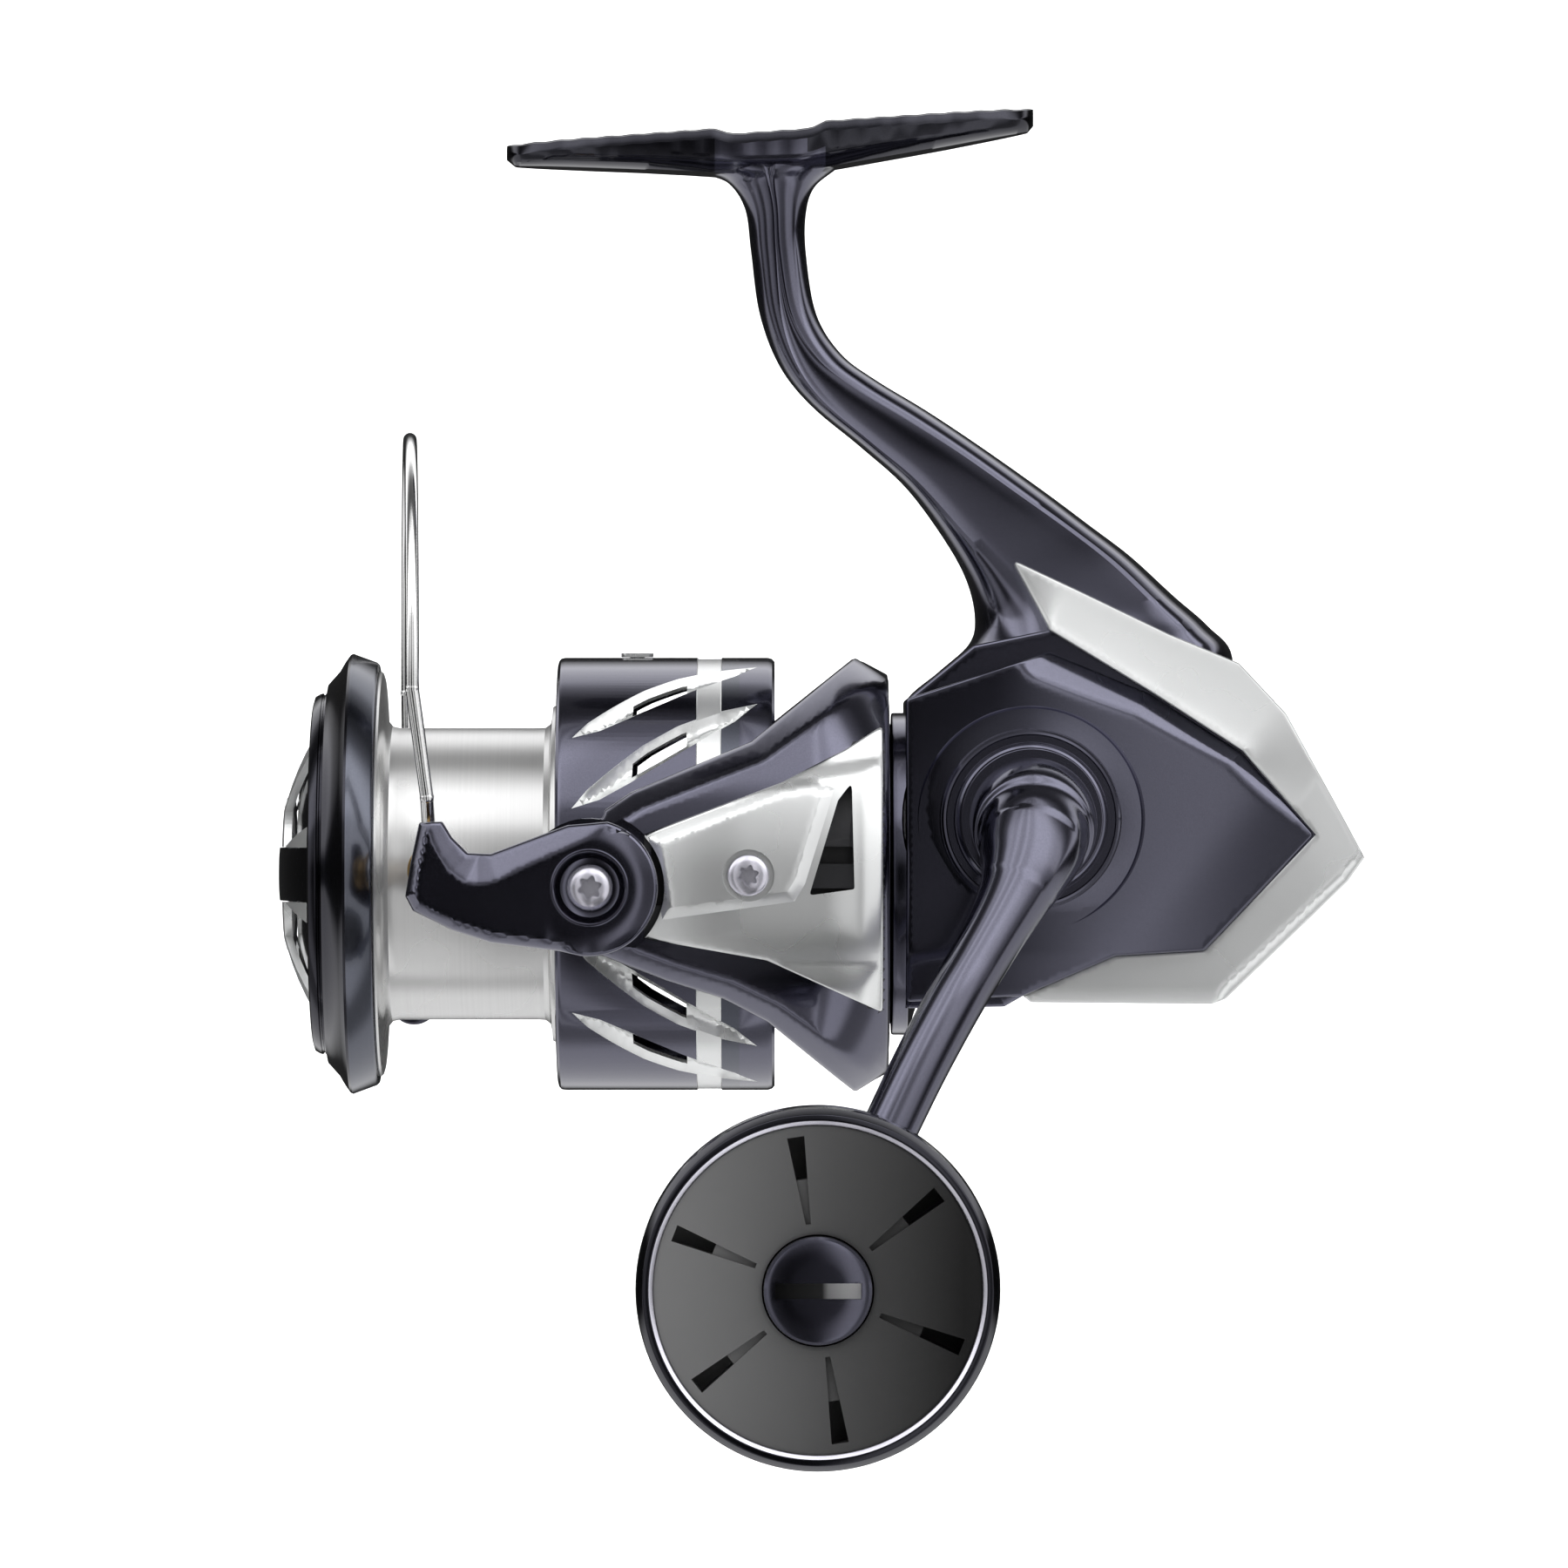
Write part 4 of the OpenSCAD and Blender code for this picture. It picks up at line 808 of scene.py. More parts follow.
def rotor_shell():
    outline = [(-16.5, -22.9), (-16.5, 22.9)] + ARM_UPPER + arc(PIVOT.x, PIVOT.z, 8.0, 80, 280, 22) + ARM_LOWER
    line = dense(rounded(outline, 0.5, 3), 1.2)
    arms = [relief(line, arm_face, lambda x, z: drum(between(ARM_BORE, x), z) - 0.1, on_side(side), 0.5, 0.7)
            for side in (-1, 1)]
    bosses = [rod(7.9, 27.2 * side, 30 * side, AT_PIVOT, 96) for side in (-1, 1)]
    cup = turned(loop([(3.55, -29.1), (3.55, -33.2), (15.4, -33.2), (18.3, -29.5), (25.4, -20.6), (25.0, -19.3),
                       (23.5, -16.5), (19.9, -16.3), (19.9, -19.2), (21.2, -20.6), (15.2, -28.2), (14, -29.1)],
                      0.35), about_x, 128)
    shell = join(cup, *arms, *bosses)
    room_for_skirt = [(22.6, -60), (26.35, -60), (26.35, -24.4), (22.6, -24.4), (22.6, -60)]
    cuts = [turned(room_for_skirt, about_x, 128)]
    kick_slot = [(-44, -KICK_HALF), (-18.7, -KICK_HALF), (-18.7, KICK_HALF), (-44, KICK_HALF)]
    for side in (-1, 1):
        seat = relief(dense(PANEL, 1.5), lambda x, z: 40, lambda x, z: drum(SEAT, z), on_side(side),
                      0.05, 1.5, 1)
        cuts += [seat, rod(8.7, 30.02 * side, 42 * side, AT_PIVOT, 96),
                 rod(1.55, 26 * side, 31 * side, AT_PIVOT, 32), prism(kick_slot, 27.4 * side, 34 * side)]
    shell = less(shell, *cuts)
    paint(shell, 1, lambda c: 10 < abs(c.y) < SEAT + 0.1 and inside(PANEL, c.x, c.z))
    finish_mesh("rotor_casting", "rotor_frame", shell, [COAT, BLACK], 24)


def panel_face(x, z):
    """The silver panel: a drum with a raised cover, its flanks, a waist crease and a rear bevel."""
    radius = PANEL_OUT - 0.9 * eased(x, -24, -17) - 1.45 * eased(-x, 33, 45)
    base = smooth_min([
        drum(radius, z),
        drum(radius - 0.55, z) + 0.16 * abs(z + 10.0) + 0.1,
        drum(radius, z) - 0.25 * (x + 19.6),
        drum(radius, z) - 0.62 * min(side_of((-31, 10.0), (-17.5, 12.0), x, z), 2),
    ], 0.06)
    if not inside(RAISED, x, z):
        return base
    rise = smooth_min([0.75, RISE * distance(RAISED, x, z)], 0.05)
    return base + max(0.0, rise)


def panel_back(x, z):
    """The panels' backs lie in their seat or, where the arm falls away, on the arm. They stay clear of the
    kick lever's slot."""
    low = ARM_OUT - 0.05 - 4.5 * eased(x, *ARM_FALL)
    return drum(min(SEAT + 0.05, low) if abs(z) > KICK_HALF + 0.4 else SEAT + 0.05, z)


def far_panel_face(x, z):
    """The far panel, lower near the pivot, where the bail's far arm swings over it."""
    return panel_face(x, z) - 0.25 * eased(-x, 36, 41.5)


def arm_cover(side, name, node):
    line = dense(rounded(PANEL, 0.4, 3), 1.0)
    face, edge = (panel_face, 0.3) if side < 0 else (far_panel_face, 0.18)
    creases = [dense(p, 0.5) for p in (RAISED, inset(RAISED, 0.75 / RISE))]
    bm = relief(line, face, panel_back, on_side(side), edge, 0.45, 3, [p + p[:1] for p in creases])
    y0, y1 = sorted((0, 40 * side))
    at_screw = about_y(*COVER_SCREW)
    bm = less(bm, prism(dense(rounded(WINDOW, 0.3, 3), 2), y0, y1), rod(8.55, y0, y1, AT_PIVOT, 128))
    bm = less(bm, rod(3.0, 31.75 * side, 34 * side, at_screw, 48), rod(1.0, y0, y1, at_screw, 32))
    finish_mesh(name, node, bm, [SATIN], 20)


def star(cx, cz, tip, root, turn=0.0):
    """A six-lobed driver recess."""
    points = []
    for i in range(48):
        a = 2 * math.pi * i / 48
        r = (tip + root) / 2 + (tip - root) / 2 * math.cos(6 * a)
        points.append((cx + r * math.cos(a + turn), cz + r * math.sin(a + turn)))
    return points


def domed_screws(name, node, at, head, rows, tip):
    """A screw on each side, domed and with a six-lobed recess. rows are (radius, depth below the crown)."""
    both = bmesh.new()
    for side in (-1, 1):
        profile = [(0, head), *[(r, head - drop) for r, drop in rows]]
        profile.append((0, profile[-1][1]))
        screw = turned([(r, side * h) for r, h in profile], about_y(*at), 64)
        y0, y1 = sorted((side * (head - 0.95), side * (head + 1)))
        screw = less(screw, prism(star(*at, tip, 0.7 * tip, 0.3), y0, y1))
        work = bpy.data.meshes.new("work")
        screw.to_mesh(work)
        screw.free()
        both.from_mesh(work)
        bpy.data.meshes.remove(work)
    finish_mesh(name, node, both, [SCREW_STEEL], 28)


def rotor_screws():
    domed_screws("pivot_screw_heads", "pivot_screws", (PIVOT.x, PIVOT.z), 34.25,
                 [(0.9, 0.06), (1.6, 0.2), (2.2, 0.45), (2.55, 0.75), (2.65, 1.05), (2.5, 1.2), (2.45, 4.15),
                  (1.5, 4.2), (1.48, 6.6)], 1.45)
    domed_screws("cover_screw_heads", "arm_cover_screws", COVER_SCREW, 33.15,
                 [(0.9, 0.04), (1.6, 0.14), (2.1, 0.32), (2.35, 0.55), (2.4, 0.8), (2.35, 1.28), (0.95, 1.3),
                  (0.94, 2.7)], 1.25)


# ---- bail --------------------------------------------------------------------

ROLLER_ARM = [
    (-53.5, 5.9), (-62.4, 2.6), (-65.0, 2.7), (-66.8, 4.5), (-67.9, 6.3), (-70.6, 6.2), (-71.6, 1.5),
    (-72.2, -2.3), (-71.3, -4.0), (-66.8, -6.2), (-62.4, -7.6), (-54.4, -8.6)]
ARM_FRONT = ROLLER_ARM[5:]
ARM_CREASE = [
    (-69.7, 6.4), (-69.0, 4.0), (-68.2, 2.3), (-67.0, 0.6), (-65.3, -0.7), (-63.6, -1.0), (-61.6, -0.6),
    (-58.9, 0.8), (-54, 3.0), (-49.4, 5.0)]
ARM_BEVEL = ARM_CREASE + [(-40, 5.0), (-40, 30), (-80, 30), (-80, 6.4)]  # everything above the crease
SCREW_HOLE = 2.55  # radius of the hole that the pivot screw's shoulder fills


def roller_arm_face(x, z):
    """Depth of the bail arm's face: a bevel above the crease, rounding at the front and a dome at the pivot."""
    face = 34.4
    parts = [face, 32.9 + 1.3 * distance(ARM_FRONT, x, z, False)]
    if inside(ARM_BEVEL, x, z):
        parts.append(face - 0.42 * distance(ARM_CREASE, x, z, False))
    r = math.hypot(x - PIVOT.x, z - PIVOT.z)
    near = max(0.0, min(1.0, (x - PIVOT.x + 5) / 5))
    parts.append(face - 0.12 * near * max(0.0, r - 5.2) ** 1.5)
    return smooth_min(parts, 0.04)


def roller_arm():
    line = dense(rounded(ROLLER_ARM + arc(PIVOT.x, PIVOT.z, 7.85, 255, 435, 40), 0.35, 3), 0.7)
    bm = relief(line, roller_arm_face, lambda x, z: 31.9, on_side(-1), 0.45, 0.4, 4,
                [dense(ARM_CREASE[1:9], 0.4, False)])
    bm = join(bm, rod(7.8, -32.2, -30.25, AT_PIVOT, 96))
    cup = turned([(0, -36), (4.3, -36), (4.2, -34.4), (3.9, -33.6), (3.4, -33.05), (3.0, -32.95), (0, -32.95)],
                 AT_PIVOT, 96)
    lip = turned(loop([(4.05, -33.6), (4.1, -34.75), (4.45, -34.75), (4.7, -33.6)], 0.16), AT_PIVOT, 96)
    bm = join(less(bm, cup), lip)
    bm = less(bm, rod(SCREW_HOLE, -40, -28, AT_PIVOT), rod(1.05, -33.65, -28, AT_ROLLER))
    finish_mesh("bail_arm", "roller_arm", bm, [COAT], 24)


LEVER = [
    (-51, 5.6), (-58, 3.6), (-66, -0.6), (-71.5, -9.0), (-74.6, -12.2), (-76.4, -15.2), (-73.0, -18.2),
    (-62, -14.0), (-51, -8.2)]
WIRE_END = (-73.4, -15.5)


def bail_lever():
    """The far arm, with a knuckle that holds the wire's end."""
    line = dense(rounded(LEVER + arc(PIVOT.x, PIVOT.z, 6.9, -85, 85, 20), 0.8, 4), 0.8)
    bm = relief(line, lambda x, z: smooth_min([34.2, 33.0 + 0.7 * distance(line, x, z)], 0.1),
                lambda x, z: 31.95, on_side(1), 0.5, 0.6)
    knuckle = turned(loop([(0.01, 28.4), (3, 28.4), (3, 34.2), (0.01, 34.4)], 0.6), about_y(*WIRE_END), 48)
    bm = join(bm, rod(6.5, 30.2, 32.6, AT_PIVOT, 96), knuckle)
    bm = less(bm, rod(SCREW_HOLE, 28, 40, AT_PIVOT), rod(3.6, 32.9, 36, AT_PIVOT))
    finish_mesh("bail_far_arm", "bail_lever", bm, [COAT], 26)


# ---- handle and knob -----------------------------------------------------------

HANDLE = [  # centre x, y, z; the section's normal x, y, z; half width; half depth
    (0.0, -20.95, 6.5, 0, -1, 0, 7.3, 7.3),
    (0.1, -22.6, 6.2, 0, -0.99, -0.14, 7.45, 7.45),
    (0.2, -24.2, 5.6, 0, -0.96, -0.28, 7.3, 7.3),
    (0.2, -25.2, 5.1, 0, -0.94, -0.34, 7.0, 7.0),
    (0.1, -25.7, 4.7, -0.04, -0.92, -0.4, 6.4, 6.4),
    (-0.1, -26.8, 3.7, -0.08, -0.84, -0.54, 6.2, 6.2),
    (-0.5, -28.2, 2.2, -0.14, -0.72, -0.68, 5.8, 5.7),
    (-1.2, -29.9, 0.2, -0.24, -0.58, -0.78, 5.0, 5.0),
    (-2.4, -31.9, -2.4, -0.34, -0.48, -0.81, 4.2, 4.3),
    (-4.2, -34.2, -5.6, -0.40, -0.42, -0.82, 3.7, 3.8),
    (-6.6, -36.8, -9.6, -0.42, -0.40, -0.82, 3.45, 3.5),
    (-9.6, -39.8, -14.6, -0.42, -0.38, -0.83, 3.35, 3.3),
    (-13.6, -43.2, -22.0, -0.42, -0.33, -0.85, 3.25, 3.1),
    (-18.0, -46.4, -31.0, -0.42, -0.28, -0.87, 3.15, 2.9),
    (-21.6, -48.6, -38.0, -0.42, -0.24, -0.88, 3.1, 2.8),
    (-25.0, -49.9, -44.7, -0.42, -0.15, -0.9, 3.1, 2.4),
]


def handle_section(x, y, z, nx, ny, nz, wide, deep):
    """A section through the handle: round where it leaves the boss, three soft ridges beyond."""
    n = Vector((nx, ny, nz)).normalized()
    across = Vector((0.9, 0.0, -0.43)) if ny > -0.5 else Vector((1.0, 0.0, -0.3 * (1 + ny)))
    across = (across - across.dot(n) * n).normalized()
    out = n.cross(across)
    points = []
    for i in range(48):
        a = 2 * math.pi * i / 48
        c, s = math.cos(a), math.sin(a)
        ridge = 1 + 0.035 * math.cos(3 * a + 0.4) if ny > -0.8 else 1.0
        p = Vector((x, y, z)) + ridge * (wide * c * across + deep * s * out)
        points.append(tuple(p))
    return points


def handle_arm():
    arm = loft([handle_section(*row) for row in curve(HANDLE, 110)])
    boss = [(0.01, -47.3), (4.6, -47.3), (5.4, -48.2), (5.4, -52.4), (0.01, -52.4)]
    shank = join(rod(4.6, -21.5, -17.7, AT_DRIVE), rod(2.9, -18.5, -14, AT_DRIVE))
    arm = less(join(arm, turned(loop(boss, 0.5), AT_KNOB, 64), shank), rod(2.0, -53, -46, AT_KNOB, 32))
    finish_mesh("handle_crank", "handle_arm", arm, [COAT], 26)


def knob_grip():
    """The grip: a dished face with six tapered slots, and a waisted back."""
    profile = [
        (6.15, -89.6), (6.6, -89.75), (12, -89.5), (17.6, -88.75), (18.0, -88.45), (18.0, -78.3),
        (19.5, -77.5), (19.8, -74.5), (19.7, -71), (18.8, -66.6), (17.2, -63), (15.0, -60.2), (11.5, -57.7),
        (8, -57), (6.15, -56.9), (6.15, -89.6)]
    cuts = []
    for k in range(6):
        a = math.radians(38.3 + 60 * k)
        u, v = Vector((math.cos(a), math.sin(a))), Vector((-math.sin(a), math.cos(a)))

        def wedge(r0, w0, r1=16.9, w1=0.95):
            """A slot's outline, from half width w0 at radius r0 to w1 at r1."""
            corners = ((r0, -w0), (r1, -w1), (r1, w1), (r0, w0))
            return [tuple(Vector((KNOB.x, KNOB.z)) + r * u + w * v) for r, w in corners]

        cuts += [prism(wedge(7.3, 0.28), -91, -89.0), prism(wedge(12.2, 0.62), -91, -84)]
    finish_mesh("knob_body", "knob_grip", less(turned(profile, AT_KNOB, 144), *cuts), [GRIP_PAINTED_SHEEN], 30)


RIM_LINE = (-88.5, 18.35)  # the rim is bright in front of this and inside this radius
CAP_FLOOR = -89.6


def knob_trim():
    """The rim, with a thin bright line inside it, and the slotted cap."""
    profile = [
        (18.05, -88.6), (18.6, -89.0), (19.2, -88.9), (19.85, -87.7), (20.0, -86.4), (20.0, -79.6),
        (19.7, -78.4), (18.05, -78.4)]
    rim = turned(loop(profile, 0.25, 4), AT_KNOB, 160)
    paint(rim, 1, lambda c: c.y < RIM_LINE[0] and math.hypot(c.x - KNOB.x, c.z - KNOB.z) < RIM_LINE[1])
    finish_mesh("knob_ring", "knob_rim", rim, [COAT_BLACK_AND_SHADE, SCREW_STEEL], 30)
    profile = [
        (0, -86.8), (6.0, -86.8), (6.0, -90.0), (5.9, -90.45), (5.6, -90.75), (5.2, -90.85), (3, -90.9),
        (0, -90.9)]
    cap = turned(profile, AT_KNOB)
    corners = ((-CAP_SLOT_HALF, -0.85), (CAP_SLOT_HALF, -0.85), (CAP_SLOT_HALF, 0.85), (-CAP_SLOT_HALF, 0.85))
    cap = less(cap, prism([(KNOB.x + x, KNOB.z + z) for x, z in corners], -92, CAP_FLOOR))
    # painted highlight: the slot's floor gets a colour running from dark to bright across it
    paint(cap, 1, lambda c: abs(c.y - CAP_FLOOR) < 0.05)
    finish_mesh("knob_cover", "knob_cap", cap, [COAT, SLOT_FLOOR_PAINTED_LIGHT], 30)


# ---- spool -----------------------------------------------------------------------

SKIRT_R = 25.5
SLOT = [
    (-53.3, -7.7), (-51.5, -5.4), (-48.5, -2.6), (-45, 0.6), (-41, 3.5), (-36.5, 5.8), (-31.8, 7.3),
    (-34.4, 4.2), (-38.4, 1.2), (-42.5, -1.8), (-46.5, -4.5), (-50, -6.6)]
SLOT_ANGLES = (35, 56)
SILVER_BAND = (-38.9, -36.0)  # along X
SLATE_BAND = (-36.0, -33.9)


def skirt_cuts(angle, far, low):
    """A slot with silver flanks, and the window through its middle. The slot's outline is wrapped round the
    skirt at an angle from the side, and mirrored to the far side or below."""
    turn = math.radians(angle)

    def place(x, s, depth):
        a = turn + s / SKIRT_R
        r = SKIRT_R + 0.4 - depth
        return (x, -far * r * math.cos(a), low * r * math.sin(a))

    line = dense(SLOT, 0.8)
    leaf = relief(line, lambda x, s: 0.42 + min(1.0, 0.95 * distance(line, x, s)), lambda x, s: 0.0, place,
                  0.02, 0.5, 1)
    core = [p for p in inset(line, 0.75) if -46.8 < p[0] < -40.0]
    window = relief(core, lambda x, s: 3.0, lambda x, s: 0.0, place, 0.02, 1.2, 1)
    for cut in (leaf, window):
        paint(cut, 1)
    return leaf, window


def skirt():
    profile = [
        (19.7, -54.2), (24.3, -54.2), (24.3, -30.0), (24.5, -29.8), (25.0, -29.8), (25.35, -30.1),
        (25.5, -30.6), (25.5, -33.9), (25.5, -36.0), (25.36, -36.1), (25.36, -38.8), (25.5, -38.9),
        (25.5, -54.5), (25.42, -54.9), (25.1, -55.2), (24.7, -55.3), (19.7, -55.3), (19.7, -54.2)]
    cuts = [skirt_cuts(angle, far, low) for far in (1, -1) for low in (1, -1) for angle in SLOT_ANGLES]
    leaves, windows = zip(*cuts)
    shell = less(less(turned(profile, about_x, 240), *leaves), *windows)
    for f in shell.faces:
        c = f.calc_center_median()
        if math.hypot(c.y, c.z) <= SKIRT_R - 0.5:
            continue
        if SILVER_BAND[0] < c.x < SILVER_BAND[1]:
            f.material_index = 1
        elif SLATE_BAND[0] <= c.x < SLATE_BAND[1] and f.material_index == 0:
            f.material_index = 2
    finish_mesh("skirt_shell", "spool_skirt", shell, [COAT, SATIN, COAT_SLATE], 26)


def barrel():
    profile = [
        (2.28, -73), (2.28, -51.8), (5, -51.8), (5, -65.4), (15.2, -65.4), (15.2, -54.2), (17.8, -52.7),
        (22.4, -52.7), (22.4, -54.1), (19.9, -54.1), (19.9, -55.5), (19.7, -55.9), (18.6, -56.0),
        (17.7, -56.2), (17.25, -56.8), (17.2, -57.6), (17.2, -73.9), (17.4, -74.8), (18.0, -75.3),
        (19.5, -75.6), (23.2, -75.8), (23.7, -75.95), (23.9, -76.2), (23.8, -76.35), (15.4, -76.35),
        (15.4, -79.2), (13.2, -79.2), (13.2, -73), (2.28, -73)]
    finish_mesh("barrel_shell", "spool_barrel", turned(profile, about_x, 192), [BRIGHT], 30)


LIP_SHADE_LINE = -79.5  # the lip's front is painted near-black in front of this, as painted shade


def lip():
    profile = [
        (15.44, -76.4), (24.2, -76.4), (24.7, -76.45), (24.95, -76.7), (25.85, -79.15), (25.98, -79.45),
        (25.85, -79.75), (25.1, -80.3), (23.9, -81.0), (22.9, -81.9), (22.4, -82.35), (21.75, -82.4),
        (21.7, -80.3), (15.44, -80.2), (15.44, -76.4)]
    ring = turned(profile, about_x, 192)
    # painted shade: the lip's front faces get the near-black coat
    paint(ring, 1, lambda c: c.x < LIP_SHADE_LINE)
    finish_mesh("lip_ring", "spool_lip", ring, [COAT_SLATE, COAT_BLACK_AND_SHADE], 30)


# ---- drag dial ---------------------------------------------------------------------

DOME_R, DOME_TIP = 37.7, -88.4


def dome(r):
    """Where the dome's surface lies along X at radius r."""
    return DOME_TIP + DOME_R - math.sqrt(DOME_R ** 2 - r * r)


def on_dome(radii, rise=0.0):
    """Profile points on the dome, or rise behind it."""
    return [(r, dome(r) + rise) for r in radii]


def dial():
    """The dial's body: a grooved rim, six windows' dark floor and the bar across."""
    base = [(0, -83.3), (19.1, -83.3), (19.6, -83.9), (20.2, -84.1), (20.9, -83.9), (21.2, -83.4)]
    for x in (-82.9, -82.3, -81.7):
        base += [(21.3, x - 0.15), (21.1, x), (21.1, x + 0.12), (21.3, x + 0.25)]
    base += [(21.3, -81.0), (20.6, -80.55), (11, -80.5), (10.6, -77.2), (5.6, -77.2), (0, -80)]
    bar = turned([(0, -82.5)] + on_dome((17.1, 15, 12, 9, 6, 3, 0), 0.1), about_x)
    bar = carve(bar, [block(-90, -82, 18, 3.1)], "INTERSECT")
    core = [(7.5, -82.8), (16.9, -82.8)] + on_dome((16.6, 14, 11), 1.1) + on_dome((7.5,), 2.0) + [(7.5, -82.8)]
    hexagon = turned([(0, -84.9), (4.75, -84.9), (4.75, -78.9), (0, -78.9)], about_x, 6)
    body = join(turned(base, about_x, 192), bar, turned(core, about_x))
    body = less(body, hexagon, rod(5.1, -81, -76, about_x), rod(2.3, -87, -76, about_x))
    finish_mesh("dial_body", "drag_dial", body, [COAT_BLACK_AND_SHADE], 30)


def dial_trim():
    """The silver dome: rings joined by spokes."""
    profile = on_dome((7.8, 9, 10.5, 12, 14, 16, 17.4, 18.3)) + [(18.5, -83.3), (18.4, -82.9), (17.3, -82.9)]
    profile += on_dome((16.9, 16, 14, 12, 10.5, 9, 7.8), 0.9) + on_dome((7.8,))
    cuts = [block(-90, -80, 25, 3.2)]
    for side in (1, -1):
        for start, end in ((19, 54), (62, 118), (126, 161)):  # each window's first and last angle
            window = arc(0, 0, 17.3, start, end, 12) + arc(0, 0, 9.0, end, start, 8)
            cuts.append(prism_x([(y, side * z) for y, z in window], -90, -80))
    finish_mesh("dial_dome", "dial_trim", less(turned(profile, about_x, 192), *cuts), [SATIN], 26)


# ---- everything --------------------------------------------------------------------

for node, ob in nodes.items():
    ob.data.materials.clear()
    ob.data.materials.append(SLOT_MATERIAL[SLOT_OF[node]])
    ob.data.polygons.foreach_set("material_index", [0] * len(ob.data.polygons))

nodes["bail_wire"].data.materials[0] = CHROME
nodes["kick_lever"].data.materials[0] = BLACK
for node in ("handle_collar", "line_roller", "roller_bolt", "rotor_nut", "drag_nut", "knob_nut", "handle_cap",
             "cover_screws", "guard_screws", "clutch_housing", "line_clip"):
    add_bevel(nodes[node], 0.08)

side_cover()
body_shell()
rear_guard()
rotor_shell()
arm_cover(-1, "roller_side_cover", "roller_arm_cover")
arm_cover(1, "far_side_cover", "far_arm_cover")
rotor_screws()
roller_arm()
bail_lever()
handle_arm()
knob_grip()
knob_trim()
skirt()
barrel()
lip()
dial()
dial_trim()


# ---- stage, light and camera ---------------------------------------------------------

def stage():
    bm = bmesh.new()
    wall = [(-3, -0.125), (1.2, -0.125), (1.6, -0.05), (1.9, 0.25), (2.0, 0.8), (2.0, 3.0)]
    rows = [[bm.verts.new((x, y, z)) for y, z in wall] for x in (-4, 4)]
    for i in range(len(wall) - 1):
        bm.faces.new([rows[0][i], rows[1][i], rows[1][i + 1], rows[0][i + 1]])
    me = bpy.data.meshes.new("floor")
    bm.to_mesh(me)
    bm.free()
    ob = link("floor", me)
    g = Graph("pale_floor")
    g.set(Base_Color=g.ramp(g.noise(3, 2), [(0.3, grey(0.93)), (0.7, grey(0.95))]), Roughness=0.9)
    g.set(Normal=g.bump(g.noise(700, 2), 0.0001, 0.1))
    me.materials.append(g.mat)
    ob.visible_glossy = False


SKY_HEIGHT = [  # brightness against the angle up from the camera's side, in degrees
    (-180, 0.02), (-164, 0.03), (-154, 0.9), (-108, 1.0), (-98, 0.4), (-60, 0.26), (-47, 0.08), (-14, 0.05),
    (-7, 0.003), (6, 0.003), (13, 0.22), (22, 0.36), (33, 0.4), (42, 1.5), (68, 1.55), (82, 0.35), (95, 0.08),
    (109, 0.14), (119, 0.6), (125, 1.3), (144, 1.5), (151, 0.6), (159, 0.03), (180, 0.02)]
SKY_ROUND = [  # and what is added against the angle round to the right
    (-180, 0.0), (-80, 0.0), (-72, 0.6), (-60, 0.5), (-50, 0.06), (-40, 0.1), (-33, 0.75), (-24, 0.6),
    (-15, 0.06), (-6, 0.0), (1, 0.0), (7, 0.75), (13, 0.95), (19, 0.25), (30, 0.25), (42, 1.0), (66, 0.9),
    (78, 0.0), (180, 0.0)]
PLAIN_SKY = 0.97  # what the camera itself sees, in place of the screens


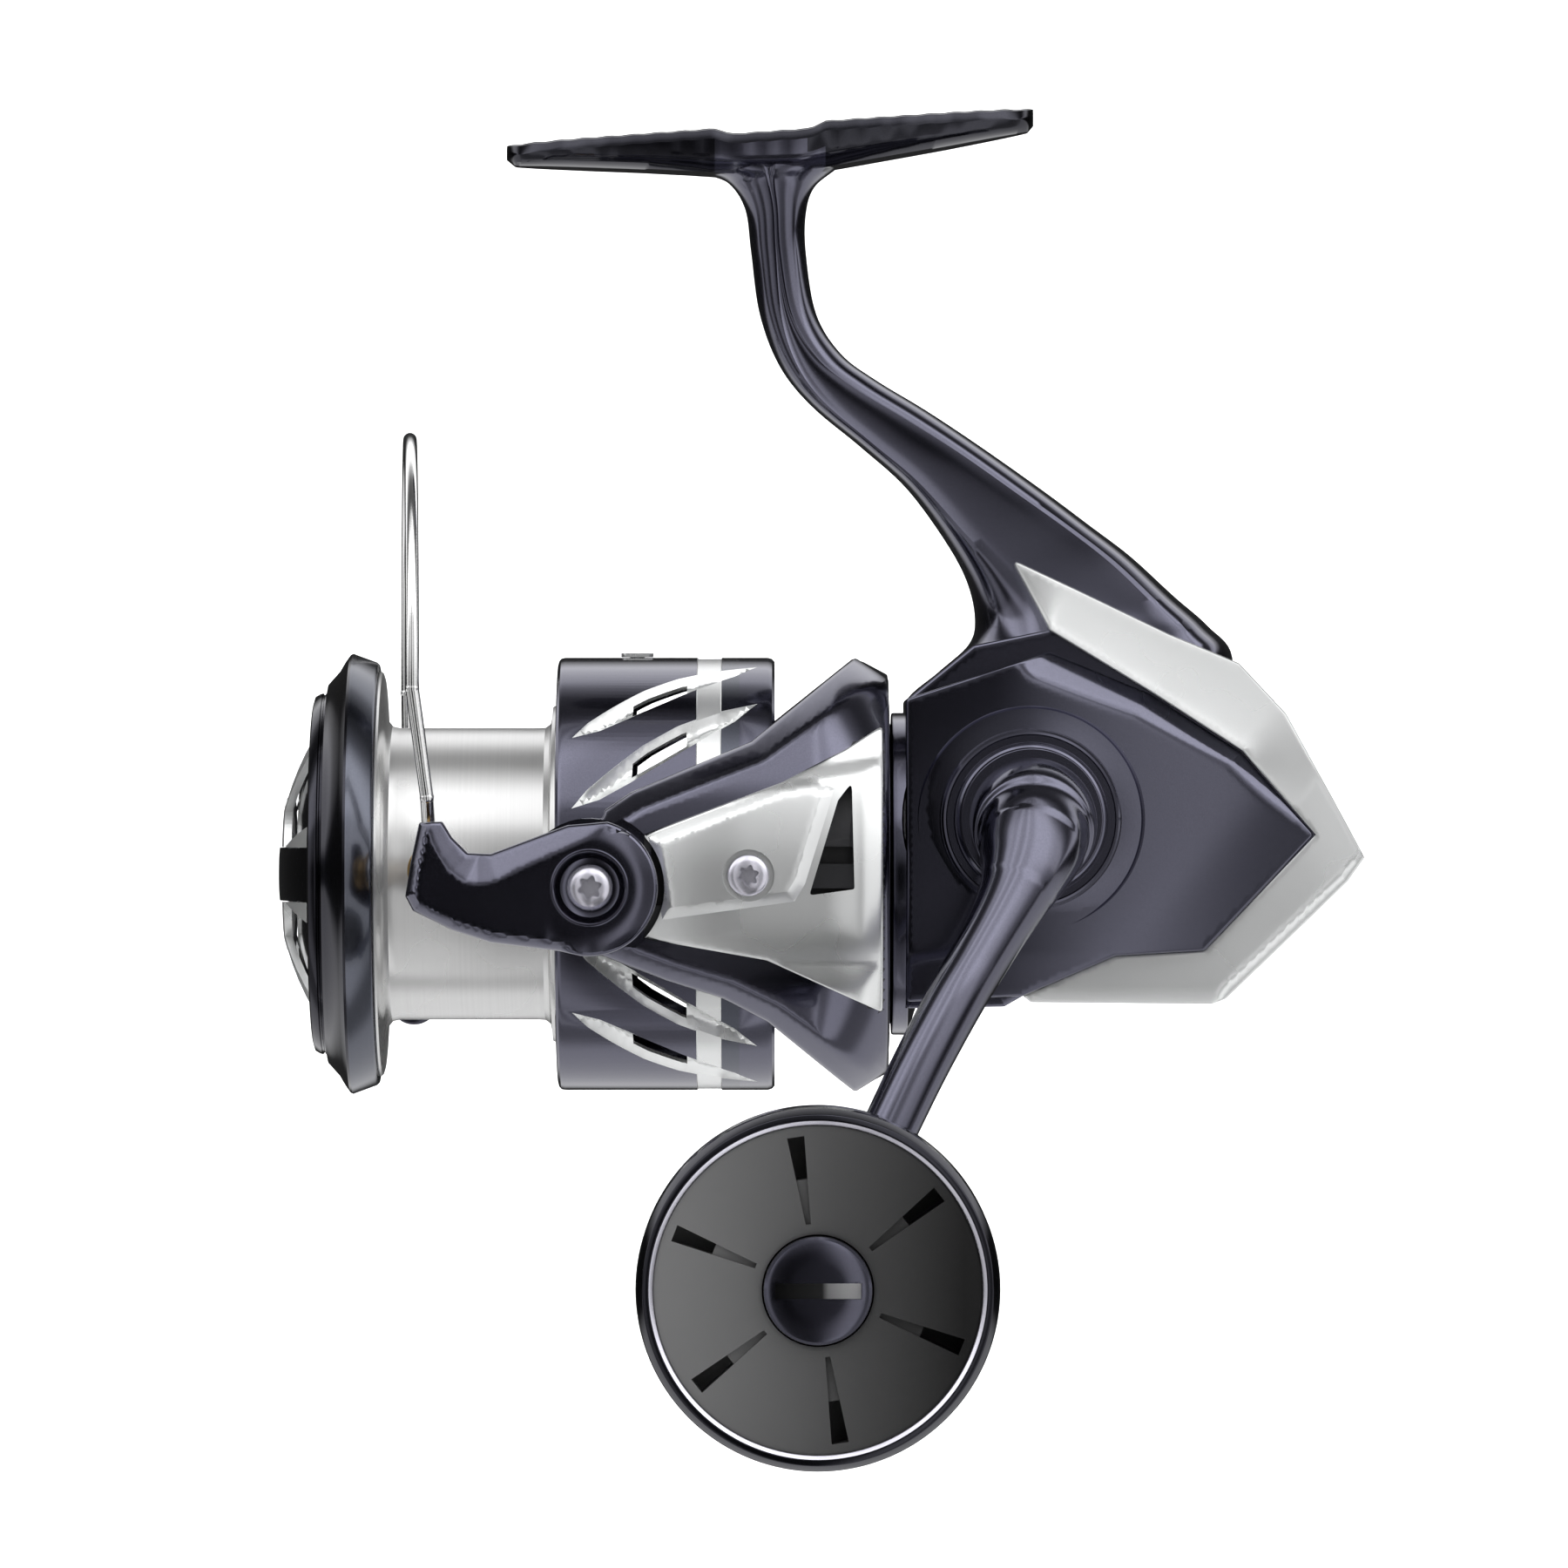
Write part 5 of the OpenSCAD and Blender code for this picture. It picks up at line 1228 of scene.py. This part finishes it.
def sky():
    """Soft studio light from all round: bright screens above, left and right, with dark gaps between."""
    world = bpy.data.worlds.new("studio")
    bpy.context.scene.world = world
    world.use_nodes = True
    tree = world.node_tree

    def new(kind, operation=None, **links):
        """A node with its inputs linked; an input is named, or numbered after an underscore."""
        n = tree.nodes.new("ShaderNode" + kind)
        if operation:
            n.operation = operation
        for key, output in links.items():
            tree.links.new(output, n.inputs[int(key[1:]) if key[0] == "_" else key])
        return n

    split = new("SeparateXYZ", _0=new("TexCoord").outputs["Generated"])
    flip = new("Math", "MULTIPLY", _0=split.outputs["Y"])
    flip.inputs[1].default_value = -1
    bands = []
    for axis, stops in (("Z", SKY_HEIGHT), ("X", SKY_ROUND)):
        turn = new("Math", "ARCTAN2", _0=split.outputs[axis], _1=flip.outputs[0])
        span = new("MapRange", Value=turn.outputs[0])
        span.inputs["From Min"].default_value = -math.pi
        span.inputs["From Max"].default_value = math.pi
        ramp = new("ValToRGB", Fac=span.outputs["Result"])
        set_stops(ramp, [((angle + 180) / 360, grey(value)) for angle, value in stops])
        bands.append(ramp.outputs["Color"])
    total = new("Math", "ADD", _0=bands[0], _1=bands[1])
    plain = new("Mix", Factor=new("LightPath").outputs["Is Camera Ray"], A=total.outputs[0])
    plain.inputs["B"].default_value = PLAIN_SKY
    background = tree.nodes["Background"]
    background.inputs["Color"].default_value = (0.985, 0.985, 1.0, 1)
    tree.links.new(plain.outputs["Result"], background.inputs["Strength"])


def area_light(name, place, aim, size, power):
    data = bpy.data.lights.new(name, "AREA")
    data.shape = "RECTANGLE"
    data.size, data.size_y = size
    data.energy = power
    ob = link(name, data)
    ob.location = place
    ob.rotation_euler = (Vector(aim) - Vector(place)).to_track_quat("-Z", "Y").to_euler()
    ob.visible_glossy = False


def camera():
    data = bpy.data.cameras.new("camera")
    data.sensor_width = 36
    distance_m, width_m = 1.2, 0.18504
    data.lens = 36 * distance_m / width_m
    data.clip_start = 0.01
    ob = link("camera", data)
    ob.location = (-0.0287, -distance_m, 0.0106)
    ob.rotation_euler = (math.pi / 2, 0, 0)
    bpy.context.scene.camera = ob


stage()
sky()
area_light("wash", (0.3, 0.6, 1.4), (0, 1.0, 0), (1.6, 1.0), 30)
area_light("key", (-0.5, -0.9, 0.8), (-0.02, 0, 0.01), (0.5, 0.3), 3)
camera()
bpy.context.scene.view_settings.view_transform = "Standard"
